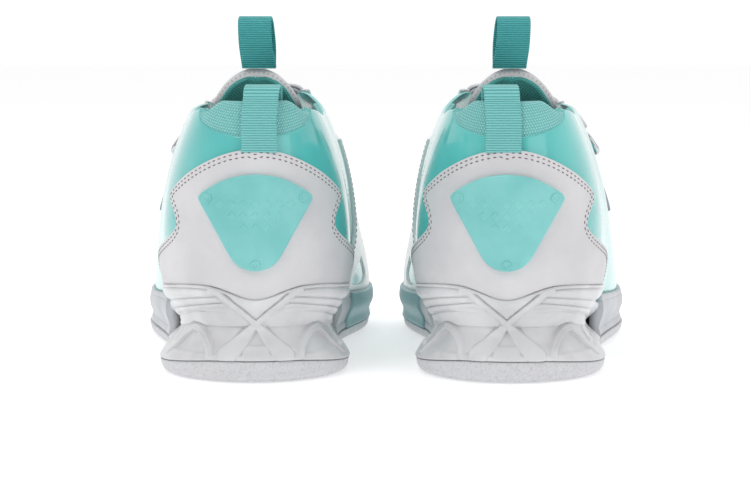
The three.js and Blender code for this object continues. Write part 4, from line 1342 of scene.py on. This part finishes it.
addPair("saddleWindow", panel(windowPlace, 40, 40, overlayTo - 1.4, overlayTo - 0.75, 0.3), patent)
addPair("saddlePanel", panel(saddlePlace, 150, 120, overlayFrom, overlayTo, 0.9, saddleRelief), glossPaintedLightLeather,
        nodes=["saddle"])
saddleRise = np.linspace(0.02, 0.98, 200)
for s, inset, row in ((0.0, 1.5, "Back"), (0.0, 3.3, "BackInner"), (1.0, 1.5, "Front")):
    form = seam(*saddlePlace(np.full(200, s), saddleRise), overlayTo - 0.02, inset, 1 if s else -1)
    addPair(f"saddleStitches{row}", form, paintedShadeThread)
print("upper made")

addPair("tonguePad", tonguePiece(0, 1, 0.2, 6.2, 70, 150), tongueKnit, "tongue",
        ["tongue"])
addPair("tongueFace", tonguePiece(0.62, 1, -1.4, -0.3, 60, 60), leather, "tongue",
        ["tongue_facing"])
binding, whip = buildTongueBinding()
addPair("tongueBinding", binding, leather, "tongue")
addPair("tongueWhipStitches", whip, paleThread, "tongue")
addPair("tongueLoopTape", buildTongueLoop(), tongueTape, "tongue_loop", ["tongue_loop"])
addPair("heelLoopTape", buildHeelLoop(), heelTape, nodes=["heel_loop"])

band = strapPiece(-2, ringRun - 0.12, bandFrom, bandTo, 0.7)
addPair("strapBandTape", band, strapTapePaintedShade, nodes=["strap_band"])
tail = strapPiece(-1.4, ringRun - 0.06, tailFrom, tailTo, 0.7, tailRise)
addPair("strapTailLeather", tail, leather, "strap", ["strap_tail"])
for edge, word in ((-1, "Back"), (1, "Front")):
    runs = np.linspace(-1.36, ringRun - 0.2, 300)
    line = strapPoint(np.full(300, edge * 0.88), runs, tailTo + tailRise(runs) - 0.02)
    facing = unit(line - strapPoint(np.full(300, edge * 0.88), runs, tailFrom + tailRise(runs)))
    form = stitches(line, facing, 2.6, 1.5, 0.55, 0.28)
    addPair(f"strapTailStitches{word}", form, paleThread, "strap")
addPair("strapRingWire", buildStrapRing(), ringMetal, nodes=["strap_ring"])
addPair("ringTabTape", buildRingTab(), strapTapePaintedShade, nodes=["ring_tab"])
print("straps made")

# the pieces inside keep the frame's own shapes and only get a finish
hidden = {"shank": ringMetal, "insole_board": boardFibre,
          "heel_stiffener": stiffPlastic, "toe_puff": stiffPlastic}
for side in ("left", "right"):
    for node, material in hidden.items():
        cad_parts[f"{side}_{node}"].data.materials.clear()
        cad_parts[f"{side}_{node}"].data.materials.append(material)


# ---- floor, light and camera ----

def addFloor():
    size = 6.0
    mesh = bpy.data.meshes.new("studioFloor")
    corners = [(-size, -size, 0), (size, -size, 0), (size, size, 0), (-size, size, 0)]
    mesh.from_pydata(corners, [], [(0, 1, 2, 3)])
    f = Finish("studioFloorPaint", 0.75, Emission_Color=(1, 1, 1, 1), Emission_Strength=0.34)
    f.colour(f.blend(f.noise(f.place(), 3, 2), (0.86, 0.86, 0.865), (0.88, 0.88, 0.885)))
    mesh.materials.append(f.material)
    floor = bpy.data.objects.new("studioFloor", mesh)
    floor.location.z = -0.0005
    bpy.context.scene.collection.objects.link(floor)


def addLight(name, place, target, size, power):
    lamp = bpy.data.lights.new(name, "AREA")
    lamp.shape, lamp.size, lamp.energy = "SQUARE", size, power
    holder = bpy.data.objects.new(name, lamp)
    holder.location = place
    holder.rotation_euler = (Vector(target) - Vector(place)).to_track_quat("-Z", "Y").to_euler()
    bpy.context.scene.collection.objects.link(holder)


def addCamera():
    view = {"x": 0.014, "behind": 1.1, "z": 0.1577, "lens": 127.2, "down": 5.04, "left": 0.86}
    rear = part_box("left_outsole")[0].y - 0.003
    data = bpy.data.cameras.new("studioCamera")
    data.lens, data.sensor_width = view["lens"], 36
    camera = bpy.data.objects.new("studioCamera", data)
    camera.location = (view["x"], rear - view["behind"], view["z"])
    camera.rotation_euler = (math.radians(90 - view["down"]), 0, math.radians(view["left"]))
    bpy.context.scene.collection.objects.link(camera)
    bpy.context.scene.camera = camera


# a pale room: brightest ahead of the shoes, dimmer behind and overhead
def addWorld():
    room = {"dim": 0.42, "bright": 1.06}
    world = bpy.data.worlds.new("studioWorld")
    world.use_nodes = True
    tree = world.node_tree
    where = tree.nodes.new("ShaderNodeTexCoord")
    split = tree.nodes.new("ShaderNodeSeparateXYZ")
    fade = tree.nodes.new("ShaderNodeMapRange")
    span = {"From Min": -0.5, "From Max": 0.75, "To Min": room["dim"], "To Max": room["bright"]}
    for socket, value in span.items():
        fade.inputs[socket].default_value = value
    tree.links.new(where.outputs["Generated"], split.inputs[0])
    tree.links.new(split.outputs["Y"], fade.inputs["Value"])
    tree.links.new(fade.outputs[0], tree.nodes["Background"].inputs["Strength"])
    tree.nodes["Background"].inputs["Color"].default_value = (1, 1, 1, 1)
    bpy.context.scene.world = world


addFloor()
addWorld()
addLight("keyLight", (-0.7, -1.3, 1.25), (0, -0.05, 0.06), 0.8, 7)
addLight("fillLight", (1.2, -0.9, 0.7), (0, -0.05, 0.06), 0.9, 3)
addLight("topLight", (0, 0.0, 1.5), (0, 0, 0.05), 1.0, 5)
addCamera()
bpy.context.scene.view_settings.view_transform = "Standard"
print("stage set")
